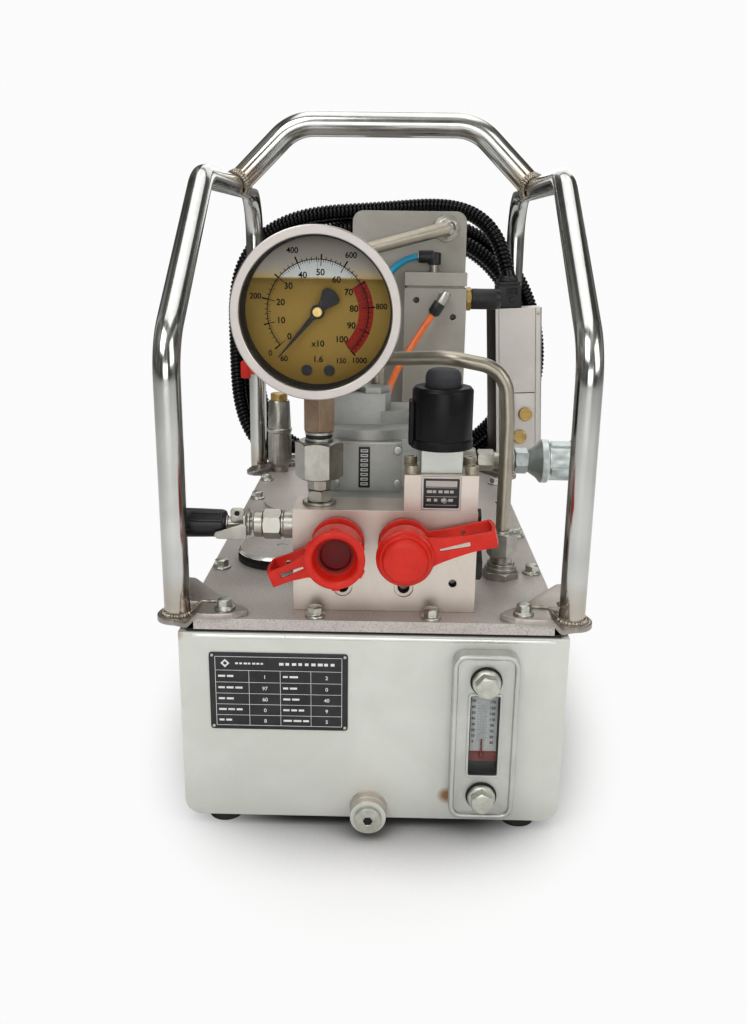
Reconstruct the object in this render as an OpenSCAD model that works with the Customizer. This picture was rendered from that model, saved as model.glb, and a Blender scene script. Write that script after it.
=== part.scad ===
// Air-driven hydraulic power unit: oil tank, pump, valve manifold, gauge and
// tubular carrying cage. All lengths in millimetres, +Z up, front towards -Y.

/* [Tank] */
// Width of the tank
tank_w = 265; // [255:1:275]
// Depth of the tank, front to back
tank_d = 472; // [468:1:476]
// Height of the tank body
tank_h = 140; // [125:1:160]
// Bend radius of the lower side edges
tank_r = 12; // [6:1:18]
// Sheet thickness of the tank
wall = 2.5; // [2:0.5:4]
// Height of the feet
foot_h = 8; // [5:1:12]

/* [Cover] */
// Width of the cover plate
cover_w = 256; // [252:1:258]
// Thickness of the cover plate
cover_t = 8; // [6:1:10]
// Thickness of the tank gasket
gasket_t = 2; // [1:0.5:3]

/* [Cage] */
// Diameter of the hoop tubes
hoop_d = 18; // [16:1:20]
// Diameter of the carrying bar
bar_d = 22; // [20:1:24]
// Height of the hoops above the cover
hoop_h = 292; // [285:1:310]
// Height of the carrying bar above the cover
bar_h = 346; // [340:1:360]

/* [Pressure gauge] */
// Outer diameter of the bezel
bezel_d = 108; // [100:1:110]
// Height of the gauge centre above the cover
gauge_z = 202; // [200:1:206]

/* [Control hose] */
// Outer diameter of the corrugated hose
hose_d = 16; // [14:0.5:17]

/* [Hidden] */
$fn = 48;
e = 0.02;
// offsets from the tank frame (front face, cover top) to the model's origin
x0 = -6;
y0 = -248;
z0 = foot_h + tank_h + gasket_t + cover_t;
zt = -cover_t - gasket_t;         // tank top
zb = zt - tank_h;                 // tank bottom
hr = hoop_d/2;
hx = 137;                         // hoop planes
leg_f = 22; leg_r = 450;          // leg positions in depth
bar_y = 330;
gx = -39; gy = 38;                // gauge stem axis
vx = 44; vy = 41;                 // valve axis
ry = 42; rz = 55;                 // regulator axis
cxl = -25; cxr = 20; cz = 50;     // couplers
px = -8; py = 135;                // pump axis
iy = 135; iz = 82;                // air inlet axis
bolt_xy = [[-40,9],[39,9],[-40,463],[40,463],
  [-120,104],[-120,200],[-120,310],[-120,384],[120,104],[120,200],[120,310],[120,384]];
lug_bolt = [[-103,13],[103,13],[-103,459],[103,459]];

// control hose: lead from the pendant up to the coil, and tail from the coil to the rear gland
lead_pts = [[128,423,211],[127.4,423,226],[124.5,424,243],[117,428,259],[103,436,271],[84,448,278],[63,462,280],[41,477,278],[20,488,273]];
tail_pts = [[-60,484,4],[-34,483,7],[-8,476,13],[16,462,19],[36,440,24],[47,414,27],[50,386,28],[50,352,28]];

module P() { translate([x0, y0, z0]) children(); }
module ycyl(h, d, y=0) { translate([0,y,0]) rotate([-90,0,0]) cylinder(h=h, d=d); }
module xcyl(h, d) { rotate([0,90,0]) cylinder(h=h, d=d); }
module hex(h, af) { cylinder(h=h, d=af/cos(30), $fn=6); }
module yhex(h, af) { rotate([-90,0,0]) hex(h, af); }
module xhex(h, af) { rotate([0,90,0]) hex(h, af); }

// swept tube through 3D points with rounded corners
function unit(v) = v/norm(v);
function corner(p, q, s, R, n) = let(u=unit(p-q), v=unit(s-q), h=acos(u*v)/2, t=min(R/tan(h), 0.48*norm(p-q), 0.48*norm(s-q)),
  r=t*tan(h), c=q+unit(u+v)*(r/sin(h)), a=q+u*t, b=q+v*t, w=90-h)
  [for (k=[0:n]) let(f=-w+2*w*k/n) c - unit(u+v)*(r*cos(f)) + unit(v-u)*(r*sin(f))];
function route(pts, R, n) = concat([pts[0]], [for (i=[1:len(pts)-2]) each corner(pts[i-1], pts[i], pts[i+1], R, n)], [pts[len(pts)-1]]);
function tang(p, i) = unit(p[min(i+1,len(p)-1)] - p[max(i-1,0)]);
function rmf(p, n, i=0, acc=[]) = i == len(p) ? acc : let(t=tang(p,i), m=unit(n-(n*t)*t)) rmf(p, m, i+1, concat(acc,[m]));
module sweep(p, d, m=16, up=[0.31,0.87,0.38]) {
  N = rmf(p, up); k = len(p);
  V = [for (i=[0:k-1]) let(t=tang(p,i), b=cross(t,N[i])) for (j=[0:m-1]) p[i] + (N[i]*cos(360*j/m) + b*sin(360*j/m))*d/2];
  F = concat([[for (j=[0:m-1]) j]], [[for (j=[m-1:-1:0]) (k-1)*m+j]],
    [for (i=[0:k-2]) for (j=[0:m-1]) each [[i*m+j, (i+1)*m+j, i*m+(j+1)%m], [i*m+(j+1)%m, (i+1)*m+j, (i+1)*m+(j+1)%m]]]);
  polyhedron(points=V, faces=F);
}

// ---- tank ----
module tank_profile(w, h, r) {
  polygon(concat([[-w/2,h],[-w/2,r]], [for (a=[6:6:84]) [-w/2+r-r*cos(a), r-r*sin(a)]],
    [[-w/2+r,0],[w/2-r,0]], [for (a=[6:6:84]) [w/2-r+r*sin(a), r-r*cos(a)]], [[w/2,r],[w/2,h]]));
}
module tank() color("lightgray") P() {
  difference() {
    translate([0,tank_d,zb]) rotate([90,0,0]) linear_extrude(tank_d) tank_profile(tank_w, tank_h, tank_r);
    translate([0,tank_d-wall,zb+wall]) rotate([90,0,0]) linear_extrude(tank_d-2*wall) tank_profile(tank_w-2*wall, tank_h-wall-4, tank_r-wall);
    translate([-tank_w/2+22,22,zt-6]) cube([tank_w-44, tank_d-44, 10]);
    for (b=bolt_xy) translate([b[0],b[1],zt-10]) cylinder(h=12, d=6.8);
    for (b=lug_bolt) translate([b[0],b[1],zt-10]) cylinder(h=12, d=6.8);
    translate([-2,0,zb+8.5]) ycyl(20, 14, -5);
    translate([-111,427,zt-10]) cylinder(h=12, d=12.4);
    for (z=[-37.5,-124.5]) translate([76.5,0,z]) ycyl(20, 10, -5);
  }
  translate([-2,0,zb+8.5]) difference() { ycyl(14, 25, -14); ycyl(16, 14, -15); }
}
module tank_feet() color("dimgray") P() for (x=[-106,106], y=[16,440]) translate([x,y,zb-foot_h]) {
  cylinder(h=foot_h-2, d1=24, d2=27); translate([0,0,foot_h-2]) cylinder(h=2, d=20);
}
module gaskets() color("black") P() {
  difference() {
    translate([-cover_w/2+1,2,zt]) cube([cover_w-2, tank_d-5, gasket_t]);
    translate([-tank_w/2+23,23,zt-1]) cube([tank_w-46, tank_d-46, gasket_t+2]);
    for (b=bolt_xy) translate([b[0],b[1],zt-1]) cylinder(h=5, d=8.4);
    for (b=lug_bolt) translate([b[0],b[1],zt-1]) cylinder(h=5, d=8.4);
    translate([-111,427,zt-1]) cylinder(h=5, d=12.4);
  }
  translate([-76,133,0]) difference() { cylinder(h=4, d=70); translate([0,0,-1]) cylinder(h=6, d=48); }
}
module cover_plate() color("silver") P() difference() {
  union() {
    translate([-cover_w/2,1,-cover_t]) cube([cover_w, tank_d-3, cover_t]);
    translate([-66,297,0]) cylinder(h=3, d=90);
  }
  for (b=bolt_xy) translate([b[0],b[1],-cover_t-1]) cylinder(h=20, d=8.4);
  for (b=lug_bolt) translate([b[0],b[1],-cover_t-1]) cylinder(h=20, d=8.4);
  translate([-76,133,-20]) cylinder(h=30, d=46);
  translate([95,96,-20]) cylinder(h=30, d=16);
  translate([px,py,-20]) cylinder(h=30, d=40);
  translate([-111,427,-20]) cylinder(h=30, d=12);
  // corners cut away for the feet of the cage
  for (s=[-1,1], y=[leg_f,leg_r]) {
    translate([s*hx,y,-cover_t-1]) cylinder(h=20, d=38);
    translate([s*hx-15,y==leg_f ? y-31 : y,-cover_t-1]) cube([30,31,20]);
  }
}
module flange_bolt(h0=0, L=12) {
  translate([0,0,h0]) { cylinder(h=1.6, d=16.5); cylinder(h=2.6, d1=15, d2=12.4); hex(7.4, 10.6); }
  translate([0,0,h0-L]) cylinder(h=L+1, d=6.6);
}
module flange_bolts() color("gainsboro") P() {
  for (b=bolt_xy) translate([b[0],b[1],0]) flange_bolt(0, 16);
  for (b=lug_bolt) translate([b[0],b[1],0]) flange_bolt(5, 20);
  for (z=[-37.5,-124.5]) translate([76.5,0,z]) gauge_bolt();
}

// ---- cage ----
module hoop(s) {
  translate([s*hx,0,0]) {
    sweep(route([[0,leg_f,-4],[0,leg_f,180],[0,168,hoop_h],[0,leg_r,hoop_h],[0,leg_r,-4]], 44, 9), hoop_d, 20, [1,0,0]);
    for (y=[leg_f,leg_r]) translate([0,y,-8]) cylinder(h=5, d=28);
  }
  for (m=[0,1]) difference() {
    union() {
      hull() { // flat part, bolted down on the cover
        translate([s*122, m ? leg_r : leg_f, 0]) cylinder(h=5, r=10, $fn=32);
        translate([s*103, m ? 459 : 13, 0]) cylinder(h=5, r=12, $fn=32);
        translate([s*127, m ? 438 : 68, 0]) cylinder(h=5, r=5, $fn=32);
      }
      hull() { // slope down to the round foot
        translate([s*122-1, (m ? leg_r : leg_f)-10, 0]) cube([2,20,5]);
        translate([s*hx, m ? leg_r : leg_f, -8]) cylinder(h=5, r=14, $fn=32);
      }
    }
    translate([s*103, m ? 459 : 13, -1]) cylinder(h=8, d=8.4);
  }
}
module cage_hoop_left() color("silver") P() hoop(-1);
module cage_hoop_right() color("silver") P() hoop(1);
module cage_handle_bar() color("silver") P() difference() {
  sweep(route([[-hx,bar_y,hoop_h],[-82,bar_y,bar_h],[82,bar_y,bar_h],[hx,bar_y,hoop_h]], 44, 9), bar_d, 20, [0,1,0]);
  for (s=[-1,1]) translate([s*hx,bar_y-40,hoop_h]) ycyl(80, hoop_d);
  for (s=[-1,1]) translate([s*(hx+20)-20,bar_y-40,hoop_h-40]) cube([40,80,120]);
  for (s=[-1,1]) translate([s*hx-20,bar_y-40,hoop_h-40]) cube([40,80,40]);
}

// ---- tank fittings ----
module drain_plug() color("gainsboro") P() translate([-2,0,zb+8.5]) difference() {
  union() { ycyl(4.4, 19, -18.4); ycyl(17, 13.6, -14.2); }
  translate([0,-19,0]) rotate([-90,0,0]) cylinder(h=7, d=6.5, $fn=6);
}
module level_gauge_frame() color("gainsboro") P() translate([76.5,0,0]) difference() {
  union() {
    translate([-22.5,-12,-142]) cube([45,12,124]);
    for (z=[-18,-142]) intersection() { translate([-22.5,-12,z-4]) cube([45,12,8]); translate([0,0,z]) scale([1,1,1]) translate([0,0,0]) cube([45,40,8], center=true); }
  }
  translate([-11,-16,-108]) cube([22,13,60]);
  for (z=[-37.5,-124.5]) translate([0,0,z]) ycyl(20, 10.4, -15);
}
module level_gauge_lens() color("white", 0.4) P() translate([65.7,-11,-107.8]) cube([21.6,3,59.6]);
module level_gauge_scale() color("whitesmoke") P() {
  translate([65.8,-4,-107.5]) cube([21.4,1,59]);
  translate([76.5,-5.6,-104]) cylinder(h=50, d=3);
}
module gauge_bolt() { ycyl(2.4, 19.5, -14.4); yhexo(7.5, 14.4, -21.9); ycyl(18, 9.6, -12.2); }
module yhexo(h, af, y) { translate([0,y,0]) yhex(h, af); }
module data_plates() color("dimgray") P() {
  translate([-112,-0.8,-81.5]) cube([95,0.8,57.5]);
  translate([30.5,18.4,73.5]) cube([26.5,1.6,23]);
}

// ---- manifold and couplers ----
module manifold_block() color("silver") P() difference() {
  translate([-56,20,0]) cube([125,34,72]);
  for (x=[cxl,cxr]) translate([x,0,cz]) ycyl(18, 18, 15);
  for (p=[[-22,15.5],[20,14]]) translate([p[0],0,17]) { ycyl(p[1], 8, 15); ycyl(3, 13, 18.5); }
  translate([53.5,0,21]) ycyl(12, 5.4, 15);
  translate([gx,gy,60]) cylinder(h=20, d=11);
  translate([vx,vy,46]) cylinder(h=30, d=12);
  translate([-60,ry,rz]) xcyl(18, 14);
  translate([62,37,29]) xcyl(18, 14.2);
  translate([64,37,62]) xcyl(18, 10.2);
}
module manifold_plugs() color("black") P() {
  translate([69,37,29]) { xhex(5, 19); translate([-6,0,0]) xcyl(7, 14); }
  translate([69,37,62]) { xhex(3.4, 14); translate([-4,0,0]) xcyl(5, 10); }
}
module coupler_nipples() color("gainsboro") P() for (x=[cxl,cxr]) translate([x,0,cz]) difference() {
  union() { ycyl(14, 17.6, 16); ycyl(6, 24, 14); translate([0,0,0]) ycyl(24, 17, x < 0 ? -3.6 : -11.6); }
  ycyl(60, 6, -19);
}
module collar(x, f) translate([x,0,cz]) difference() {
  union() { ycyl(13.4-f, 29, f); ycyl(2, 30.6, 9.4); ycyl(2, 30.6, 5.4); }
  ycyl(40, 17.2, -13);
}
module coupler_collar_left() color("gainsboro") P() collar(cxl, -4);
module coupler_collar_right() color("gainsboro") P() collar(cxr, -12);
module dust_cap_left() color("red") P() translate([cxl,0,cz]) {
  difference() {
    union() { ycyl(17.4, 36, -22); ycyl(3, 39, -22); for (a=[25:60:325]) rotate([0,a,0]) translate([17,-22,-3]) cube([2.6,4,6]); }
    ycyl(16, 24, -23);
  }
}
module dust_cap_right() color("red") P() translate([cxr,0,cz]) {
  union() { ycyl(7, 35.4, -19.5); ycyl(2.6, 38, -15.2); ycyl(3, 30, -22.4); }
}
module strap_loop(L) {
  // flat tether: ring round the coupler root, arm, folded tip and return arm
  difference() {
    union() {
      ycyl(2.4, 36, 14.2);
      translate([0,14.2,-5.5]) cube([L,2.4,11]);
      translate([L-2.4,-12,-5.5]) cube([2.4,28.6,11]);
      translate([20.5,-12,-5.5]) cube([L-20.5,2.4,11]);
    }
    ycyl(20, 24.6, 2);
    translate([26,-14,-1.6]) cube([14,6,3.2]);
    translate([-20,-13,-20]) cube([39.8,3.6,40]);
  }
}
module cap_straps() color("red") P() {
  translate([cxl,0,cz]) rotate([0,180-22,0]) strap_loop(46);
  translate([cxr,0,cz]) rotate([0,-13,0]) strap_loop(60);
}

// ---- pressure gauge ----
module gauge_case() color("silver") P() translate([gx,0,gauge_z]) difference() {
  union() { ycyl(30, bezel_d-8, 20); ycyl(4, bezel_d-16, 50); translate([0,gy,-52]) cylinder(h=12, d=14); }
  ycyl(26, bezel_d-12, 19);
  translate([0,gy,-53]) cylinder(h=16, d=8);
}
module gauge_bezel() color("lightgray") P() translate([gx,0,gauge_z]) difference() {
  union() { ycyl(5, bezel_d, 8); ycyl(9, bezel_d-1.6, 12.8); }
  ycyl(14, bezel_d-12, 6);
  ycyl(14, bezel_d-7.9, 14);
}
module gauge_window() color("white", 0.3) P() translate([gx,0,gauge_z]) ycyl(3, bezel_d-12.2, 10);
module gauge_dial() color("darkgoldenrod") P() translate([gx,0,gauge_z]) difference() {
  ycyl(1.2, bezel_d-13, 30); ycyl(4, 4.2, 29);
}
module gauge_pointer() color("black") P() translate([gx,0,gauge_z]) {
  ycyl(14, 3.8, 24); ycyl(3, 8, 24);
  rotate([0,-49,0]) { translate([-36,26.4,-0.9]) cube([36,1,1.8]); translate([0,26.4,0]) rotate([-90,0,0]) linear_extrude(1) polygon([[0,-2],[15,-6.5],[17,0],[15,6.5],[0,2]]); }
}
module gauge_adaptor() color("silver") P() translate([gx,gy,0]) difference() {
  union() {
    translate([0,0,60.2]) cylinder(h=13, d=10.6);
    translate([0,0,72]) cylinder(h=2, d=23);
    translate([0,0,74]) rotate([0,0,30]) hex(8, 14.6);
    translate([0,0,82]) rotate([0,0,30]) hex(8, 13.8);
    translate([0,0,90]) rotate([0,0,0]) hex(26, 28.6);
    translate([0,0,116]) cylinder(h=6.5, d=19);
    translate([0,0,122.5]) rotate([0,0,30]) hex(27.5, 20);
  }
  translate([0,0,60]) cylinder(h=92, d=5);
  translate([0,0,140]) cylinder(h=12, d=4);
}
module bourdon_tube() color("goldenrod") P() translate([gx,gy+1,gauge_z]) {
  rotate([90,0,0]) rotate([0,0,-70]) rotate_extrude(angle=270) translate([31,0]) square([5,9], center=true);
  translate([-4,-5,-42]) cube([12,9,10]);
}

// ---- solenoid valve ----
module valve_body() color("silver") P() difference() {
  translate([19,20,72]) cube([49.5,42,25]);
  translate([vx,vy,71]) cylinder(h=30, d=12.2);
  for (x=[23.75,64.25], y=[27,55]) translate([x,y,80]) cylinder(h=20, d=5.6);
}
module valve_core() color("gainsboro") P() difference() {
  union() { translate([30,26,97]) cube([28,30,15.5]); translate([vx,vy,112.5]) cylinder(h=36, d=15); }
  translate([vx,vy,96]) cylinder(h=60, d=8.2);
}
module valve_coil() color("black") P() difference() {
  translate([vx,vy,0]) union() { translate([0,0,112.5]) cylinder(h=6, d=42.5); translate([0,0,118.5]) cylinder(h=33, d=41); translate([0,0,151.5]) cylinder(h=2, d1=41, d2=38); translate([-22.6,-8,114]) cube([4,16,30]); }
  translate([vx,vy,110]) cylinder(h=36, d=15.1);
  translate([vx,vy,148.5]) cylinder(h=10, d=25);
  translate([vx,vy,140]) cylinder(h=10, d=15.1);
}
module override_boot() color("black") P() translate([vx,vy,0]) {
  translate([0,0,151.8]) cylinder(h=8, d=24); translate([0,0,159.8]) rotate_extrude() polygon([[0,0],[12,0],[11.4,2.2],[9.4,4.2],[6,5.4],[0,5.8]]);
  translate([0,0,148.8]) cylinder(h=3.2, d=6);
}
module valve_spool() color("silver") P() translate([vx,vy,0]) {
  translate([0,0,53]) cylinder(h=18, d=7); translate([0,0,71]) cylinder(h=6, d=11.6); translate([0,0,77]) cylinder(h=8, d=7);
  translate([0,0,85]) cylinder(h=6, d=11.6); translate([0,0,91]) cylinder(h=3, d=7); translate([0,0,94]) cylinder(h=52, d=7.6);
}
module valve_screws() color("dimgray") P() for (x=[23.75,64.25], y=[27,55]) translate([x,y,0]) difference() {
  union() { translate([0,0,97]) cylinder(h=5.5, d=9); translate([0,0,81]) cylinder(h=17, d=5.2); }
  translate([0,0,99.5]) cylinder(h=4, d=4.6, $fn=6);
}

// ---- pressure regulator on the left of the manifold ----
module regulator_fitting() color("gainsboro") P() translate([0,ry,rz]) difference() {
  union() {
    translate([-60,0,0]) xcyl(12, 13.8);
    translate([-64,0,0]) xcyl(8, 19.5);
    translate([-65.5,0,0]) xcyl(1.6, 17.6);
    translate([-78.5,0,0]) xhex(13, 18.5);
    translate([-84.5,0,0]) xcyl(6, 18.6);
  }
  translate([-90,0,0]) xcyl(44, 9.2);
}
module lock_lever() color("gainsboro") P() translate([0,ry,rz]) {
  difference() {
    union() {
      translate([-90.4,0,0]) xcyl(3, 17);
      translate([-90.4,-12.6,-9]) cube([3,8,18]);
      translate([-96,-12.6,3]) cube([6,1.8,9]);
      translate([-90.4,-10.8,0]) rotate([90,0,0]) linear_extrude(1.8) polygon([[3,8],[0,-9],[-22,-9.5],[-22.8,-6.8],[-20,-5]]);
    }
    translate([-92,0,0]) xcyl(6, 9.2);
    translate([-93.4,-20,8]) ycyl(20, 3);
  }
}
module regulator_handle() color("black") P() translate([0,ry,rz]) {
  translate([-104,0,0]) xcyl(46, 9);
  difference() {
    union() { translate([-143,0,0]) xcyl(39, 20); translate([-146,0,0]) xcyl(3, 17); }
    translate([-128,-12,-3]) cube([18,5,6]);
  }
}

// ---- pump ----
module pump_block() color("silver") P() difference() {
  translate([-38,54,0]) cube([74,126,68]);
  translate([px,py,-1]) cylinder(h=80, d=30);
}
module air_motor() color("darkgray") P() difference() {
  union() {
    translate([px,py,68]) cylinder(h=44, d=90);
    translate([px,py,94]) cylinder(h=1.6, d=91.4);
    translate([px,py,110]) cylinder(h=3, d=92);
    translate([px-26,88,68]) cube([52,20,37]);
    translate([px,py,112]) linear_extrude(24) polygon([[-32,-22],[13,-22],[17,-12],[17,24],[-32,24]]);
    translate([px,py,112]) linear_extrude(11) polygon([[10,-24],[32,-12],[32,20],[10,24]]);
    translate([px+4,py-8,136]) hex(4, 20);
    translate([px+40,py,iz]) rotate([0,90,0]) cylinder(h=16, d=22);
  }
  translate([px,py,67]) cylinder(h=39, d=72);
  translate([px+30,py,iz]) xcyl(40, 10);
}
module motor_rotor() color("gray") P() translate([px,py,0]) difference() {
  union() {
    translate([0,0,71]) cylinder(h=32, d=62);
    translate([0,0,20]) cylinder(h=52, d=14);
    translate([2.5,0,22]) cylinder(h=12, d=22);
  }
  for (a=[0:60:300]) rotate([0,0,a]) translate([18,-1.2,70]) cube([16,2.4,40]);
}
module suction_strainer() color("goldenrod") P() translate([px,py,0]) {
  difference() { union() { translate([0,0,-60]) cylinder(h=60, d=22); translate([0,0,-135]) cylinder(h=75, d=50); } translate([0,0,-130]) cylinder(h=140, d=16); }
}
module filler_cap() color("silver") P() translate([-76,133,4]) {
  cylinder(h=3, d=70); translate([0,0,3]) cylinder(h=3, d1=70, d2=66); translate([0,0,-22]) cylinder(h=22, d=44);
}
module breather_filter() color("gainsboro") P() translate([-111,427,0]) {
  translate([0,0,-16]) cylinder(h=17, d=11.6);
  cylinder(h=6, d=18); translate([0,0,6]) cylinder(h=4, d1=18, d2=25); translate([0,0,10]) cylinder(h=34, d=25);
  translate([0,0,44]) cylinder(h=4, d=27); translate([0,0,48]) cylinder(h=30, d1=25, d2=22);
  translate([0,0,78]) cylinder(h=8, d=18);
}

// ---- rear plate and air controls ----
module rear_plate() color("lightgray") P() {
  difference() {
    translate([-29,338,0]) rotate([90,0,0]) linear_extrude(8) polygon(concat([[0,0],[106,0]],
      [for (a=[0:10:90]) [96+10*cos(a), 262+10*sin(a)]], [for (a=[90:10:180]) [10+10*cos(a), 262+10*sin(a)]]));
    translate([58,320,257]) ycyl(30, 10);
    translate([50,320,28]) ycyl(30, 12.4);
  }
  translate([-29,338,0]) cube([106,26,6]);
  // hook that carries the coiled hose
  translate([-22,338,200]) cube([48,4,42]);
  translate([-22,338,239.4]) cube([48,178,3]);
  translate([-22,513,239.4]) cube([48,3,36]);
}
module air_valve_block() color("lightgray") P() difference() {
  union() { translate([20,304,0]) cube([57,26,204]); translate([20,302,206]) cube([57,28,12]); translate([22,304.6,204]) cube([53,25.4,2]); }
  for (p=[[31,193],[65,178]]) translate([p[0],300,p[1]]) rotate([-90,0,0]) cylinder(h=16, d=5.4);
  translate([56,300,197]) ycyl(12, 8.4);
  translate([47,315,200]) cylinder(h=20, d=8.4);
  translate([66,318,194]) xcyl(20, 12.2);
}
module push_fittings() color("dimgray") P() {
  // nickel stem and black elbow for the blue tube
  translate([47,315,206]) cylinder(h=20, d=8);
  translate([47,315,226]) cylinder(h=9, d=12);
  translate([33,315,231.5]) difference() { xcyl(14.5, 11); translate([-1,0,0]) xcyl(8, 6.2); }
  // elbow for the orange tube
  translate([56,294,197]) ycyl(16, 8);
  translate([56,291.5,197]) rotate([0,213,0]) difference() { union() { translate([0,0,-5]) cylinder(h=18, d=8); translate([0,0,6]) cylinder(h=12, d=11); } translate([0,0,11]) cylinder(h=8, d=6.2); }
}
blue_pts = [[39.8,315,231.5],[25,315,231.5],[10,312,222],[-2,306,206],[-8,296,184],[-10,250,150],[-12,200,136],[-14,178,128]];
orange_pts = [[50,291.5,187.77],[42.4,291.5,176],[30,288,157],[14,276,132],[8,230,124],[6,190,122],[4,172,122]];
module blue_tube() color("deepskyblue") P() sweep(route(blue_pts, 18, 4), 6, 12);
module orange_tube() color("orangered") P() sweep(route(orange_pts, 18, 4), 6, 12);
module silencer() color("black") P() translate([0,318,194]) {
  translate([70,0,0]) xcyl(7, 12); translate([77,0,0]) xhex(5.5, 19); translate([82.5,0,0]) xcyl(26, 19); translate([108.5,0,0]) xcyl(2, 16);
}
air_pts = [[58,305,257],[-36,296,232],[-34,190,192],[-20,131,176],[-20,131,136.6]];
module air_pipe() color("silver") P() {
  translate([58,0,257]) { ycyl(3, 24, 327); ycyl(17, 13.6, 310); translate([0,305,0]) sphere(d=15); }
  sweep(route(air_pts, 24, 6), 12, 20);
}
ret_pts = [[-2,146,136.4],[-2,146,158],[50,96,166],[92,96,158],[95,96,120],[95,96,33]];
module return_pipe() color("silver") P() sweep(route(ret_pts, 26, 6), 10.4, 20);
module return_fitting() color("silver") P() translate([95,96,0]) difference() {
  union() { translate([0,0,-30]) cylinder(h=31, d=15.6); hex(6, 24.6); translate([0,0,6]) cylinder(h=3, d=24); translate([0,0,9]) cylinder(h=3, d=21); translate([0,0,12]) cylinder(h=5, d=17); translate([0,0,17]) rotate([0,0,12]) hex(19, 20); }
  translate([0,0,-31]) cylinder(h=63.8, d=8); translate([0,0,32.9]) cylinder(h=10, d=10.6);
}
module inlet_fittings() color("silver") P() translate([0,iy,iz]) difference() {
  union() { translate([48,0,0]) xcyl(28, 12); translate([76,0,0]) xhex(14, 15); translate([90,0,0]) xcyl(12, 13); translate([98,0,0]) xcyl(8, 18); translate([106,0,0]) rotate([0,90,0]) cylinder(h=8, d=11.6); translate([114,0,0]) xcyl(8,11.6); }
  translate([40,0,0]) xcyl(90, 7);
}
module inlet_coupling() color("silver") P() translate([0,iy,iz]) difference() {
  union() { translate([106.2,0,0]) xhex(10, 17); translate([116,0,0]) rotate([0,90,0]) cylinder(h=10, d1=17, d2=34); translate([126,0,0]) xcyl(6, 34); translate([132,0,0]) xcyl(18, 30); translate([150,0,0]) xcyl(5, 34); }
  translate([100,0,0]) xcyl(22.1, 11.8);
  translate([122,0,0]) xcyl(40, 20);
}

// ---- pendant ----
module pend() { translate([145,423,0]) rotate([0,-3,0]) children(); }
module pendant_housing() color("silver") P() pend() difference() {
  union() { translate([-27,-14,30]) cube([54,28,150]); translate([-18,-15.6,32]) cube([42,1.8,60]); }
  translate([-24,-11,28]) cube([48,22,149]);
  for (p=[[10,70],[4,46]]) translate([p[0],0,p[1]]) ycyl(12, 15, -17);
}
module pbutton(x, z) pend() translate([x,0,z]) { ycyl(8, 14.4, -18.6); ycyl(2.4, 17, -10.7); }
module pendant_button_upper() color("goldenrod") P() pbutton(10, 70);
module pendant_button_lower() color("goldenrod") P() pbutton(4, 46);

// ---- hose, glands and hanger ----
module hose_glands() color("black") P() {
  pend() { translate([-18,-12,180]) cube([24,24,27]); translate([-6,0,206]) cylinder(h=5, d=20); }
  translate([50,338,28]) ycyl(14, 24);
}
function oval(a, b, n) = [for (i=[0:n-1]) let(t=360*i/n) [a*cos(t)*(1+0.12*pow(sin(2*t),2)), b*sin(t)*(1+0.12*pow(sin(2*t),2))]];
module control_hose_tube() color("black") P() { sweep(route(lead_pts, 60, 3), hose_d, 10); sweep(route(tail_pts, 60, 3), hose_d, 10); }
module control_hose_coil() color("black") P() translate([4,512,126]) rotate([90,0,0]) linear_extrude(36) difference() {
  polygon(oval(178, 157, 48)); polygon(oval(144, 123, 48));
}

tank();
tank_feet();
gaskets();
cover_plate();
flange_bolts();
cage_hoop_left();
cage_hoop_right();
cage_handle_bar();
drain_plug();
level_gauge_frame();
level_gauge_lens();
level_gauge_scale();
data_plates();
manifold_block();
manifold_plugs();
coupler_nipples();
coupler_collar_left();
coupler_collar_right();
dust_cap_left();
dust_cap_right();
cap_straps();
gauge_case();
gauge_bezel();
gauge_window();
gauge_dial();
gauge_pointer();
gauge_adaptor();
bourdon_tube();
valve_body();
valve_core();
valve_coil();
override_boot();
valve_spool();
valve_screws();
regulator_fitting();
lock_lever();
regulator_handle();
pump_block();
air_motor();
motor_rotor();
suction_strainer();
filler_cap();
breather_filter();
rear_plate();
air_valve_block();
push_fittings();
blue_tube();
orange_tube();
silencer();
air_pipe();
return_pipe();
return_fitting();
inlet_fittings();
inlet_coupling();
pendant_housing();
pendant_button_upper();
pendant_button_lower();
hose_glands();
control_hose_tube();
control_hose_coil();
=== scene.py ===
import bpy, bmesh, math
import numpy as np
from mathutils import Vector, Matrix, noise


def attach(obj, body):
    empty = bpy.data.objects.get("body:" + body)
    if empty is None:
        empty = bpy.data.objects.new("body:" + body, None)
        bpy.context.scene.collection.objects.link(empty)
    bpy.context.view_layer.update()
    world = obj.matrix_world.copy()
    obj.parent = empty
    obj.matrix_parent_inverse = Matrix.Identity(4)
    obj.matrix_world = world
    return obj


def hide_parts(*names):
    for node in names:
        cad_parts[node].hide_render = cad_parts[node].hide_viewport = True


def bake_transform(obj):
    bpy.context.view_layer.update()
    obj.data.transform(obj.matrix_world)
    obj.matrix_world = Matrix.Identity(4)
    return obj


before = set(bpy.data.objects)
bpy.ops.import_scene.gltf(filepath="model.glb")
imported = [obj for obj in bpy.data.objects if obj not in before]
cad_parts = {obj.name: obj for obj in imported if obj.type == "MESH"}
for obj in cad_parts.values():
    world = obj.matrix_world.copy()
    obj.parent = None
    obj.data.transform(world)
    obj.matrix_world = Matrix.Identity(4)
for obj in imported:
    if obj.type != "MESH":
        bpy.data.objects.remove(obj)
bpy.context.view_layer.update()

S = 0.001
OX, OY, OZ = -6.0, -248.0, 158.0          # tank frame to row frame, mm
PI = math.pi
rad = math.radians
scene = bpy.context.scene


def W(x, y, z):
    return ((x + OX) * S, (y + OY) * S, (z + OZ) * S)


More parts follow.
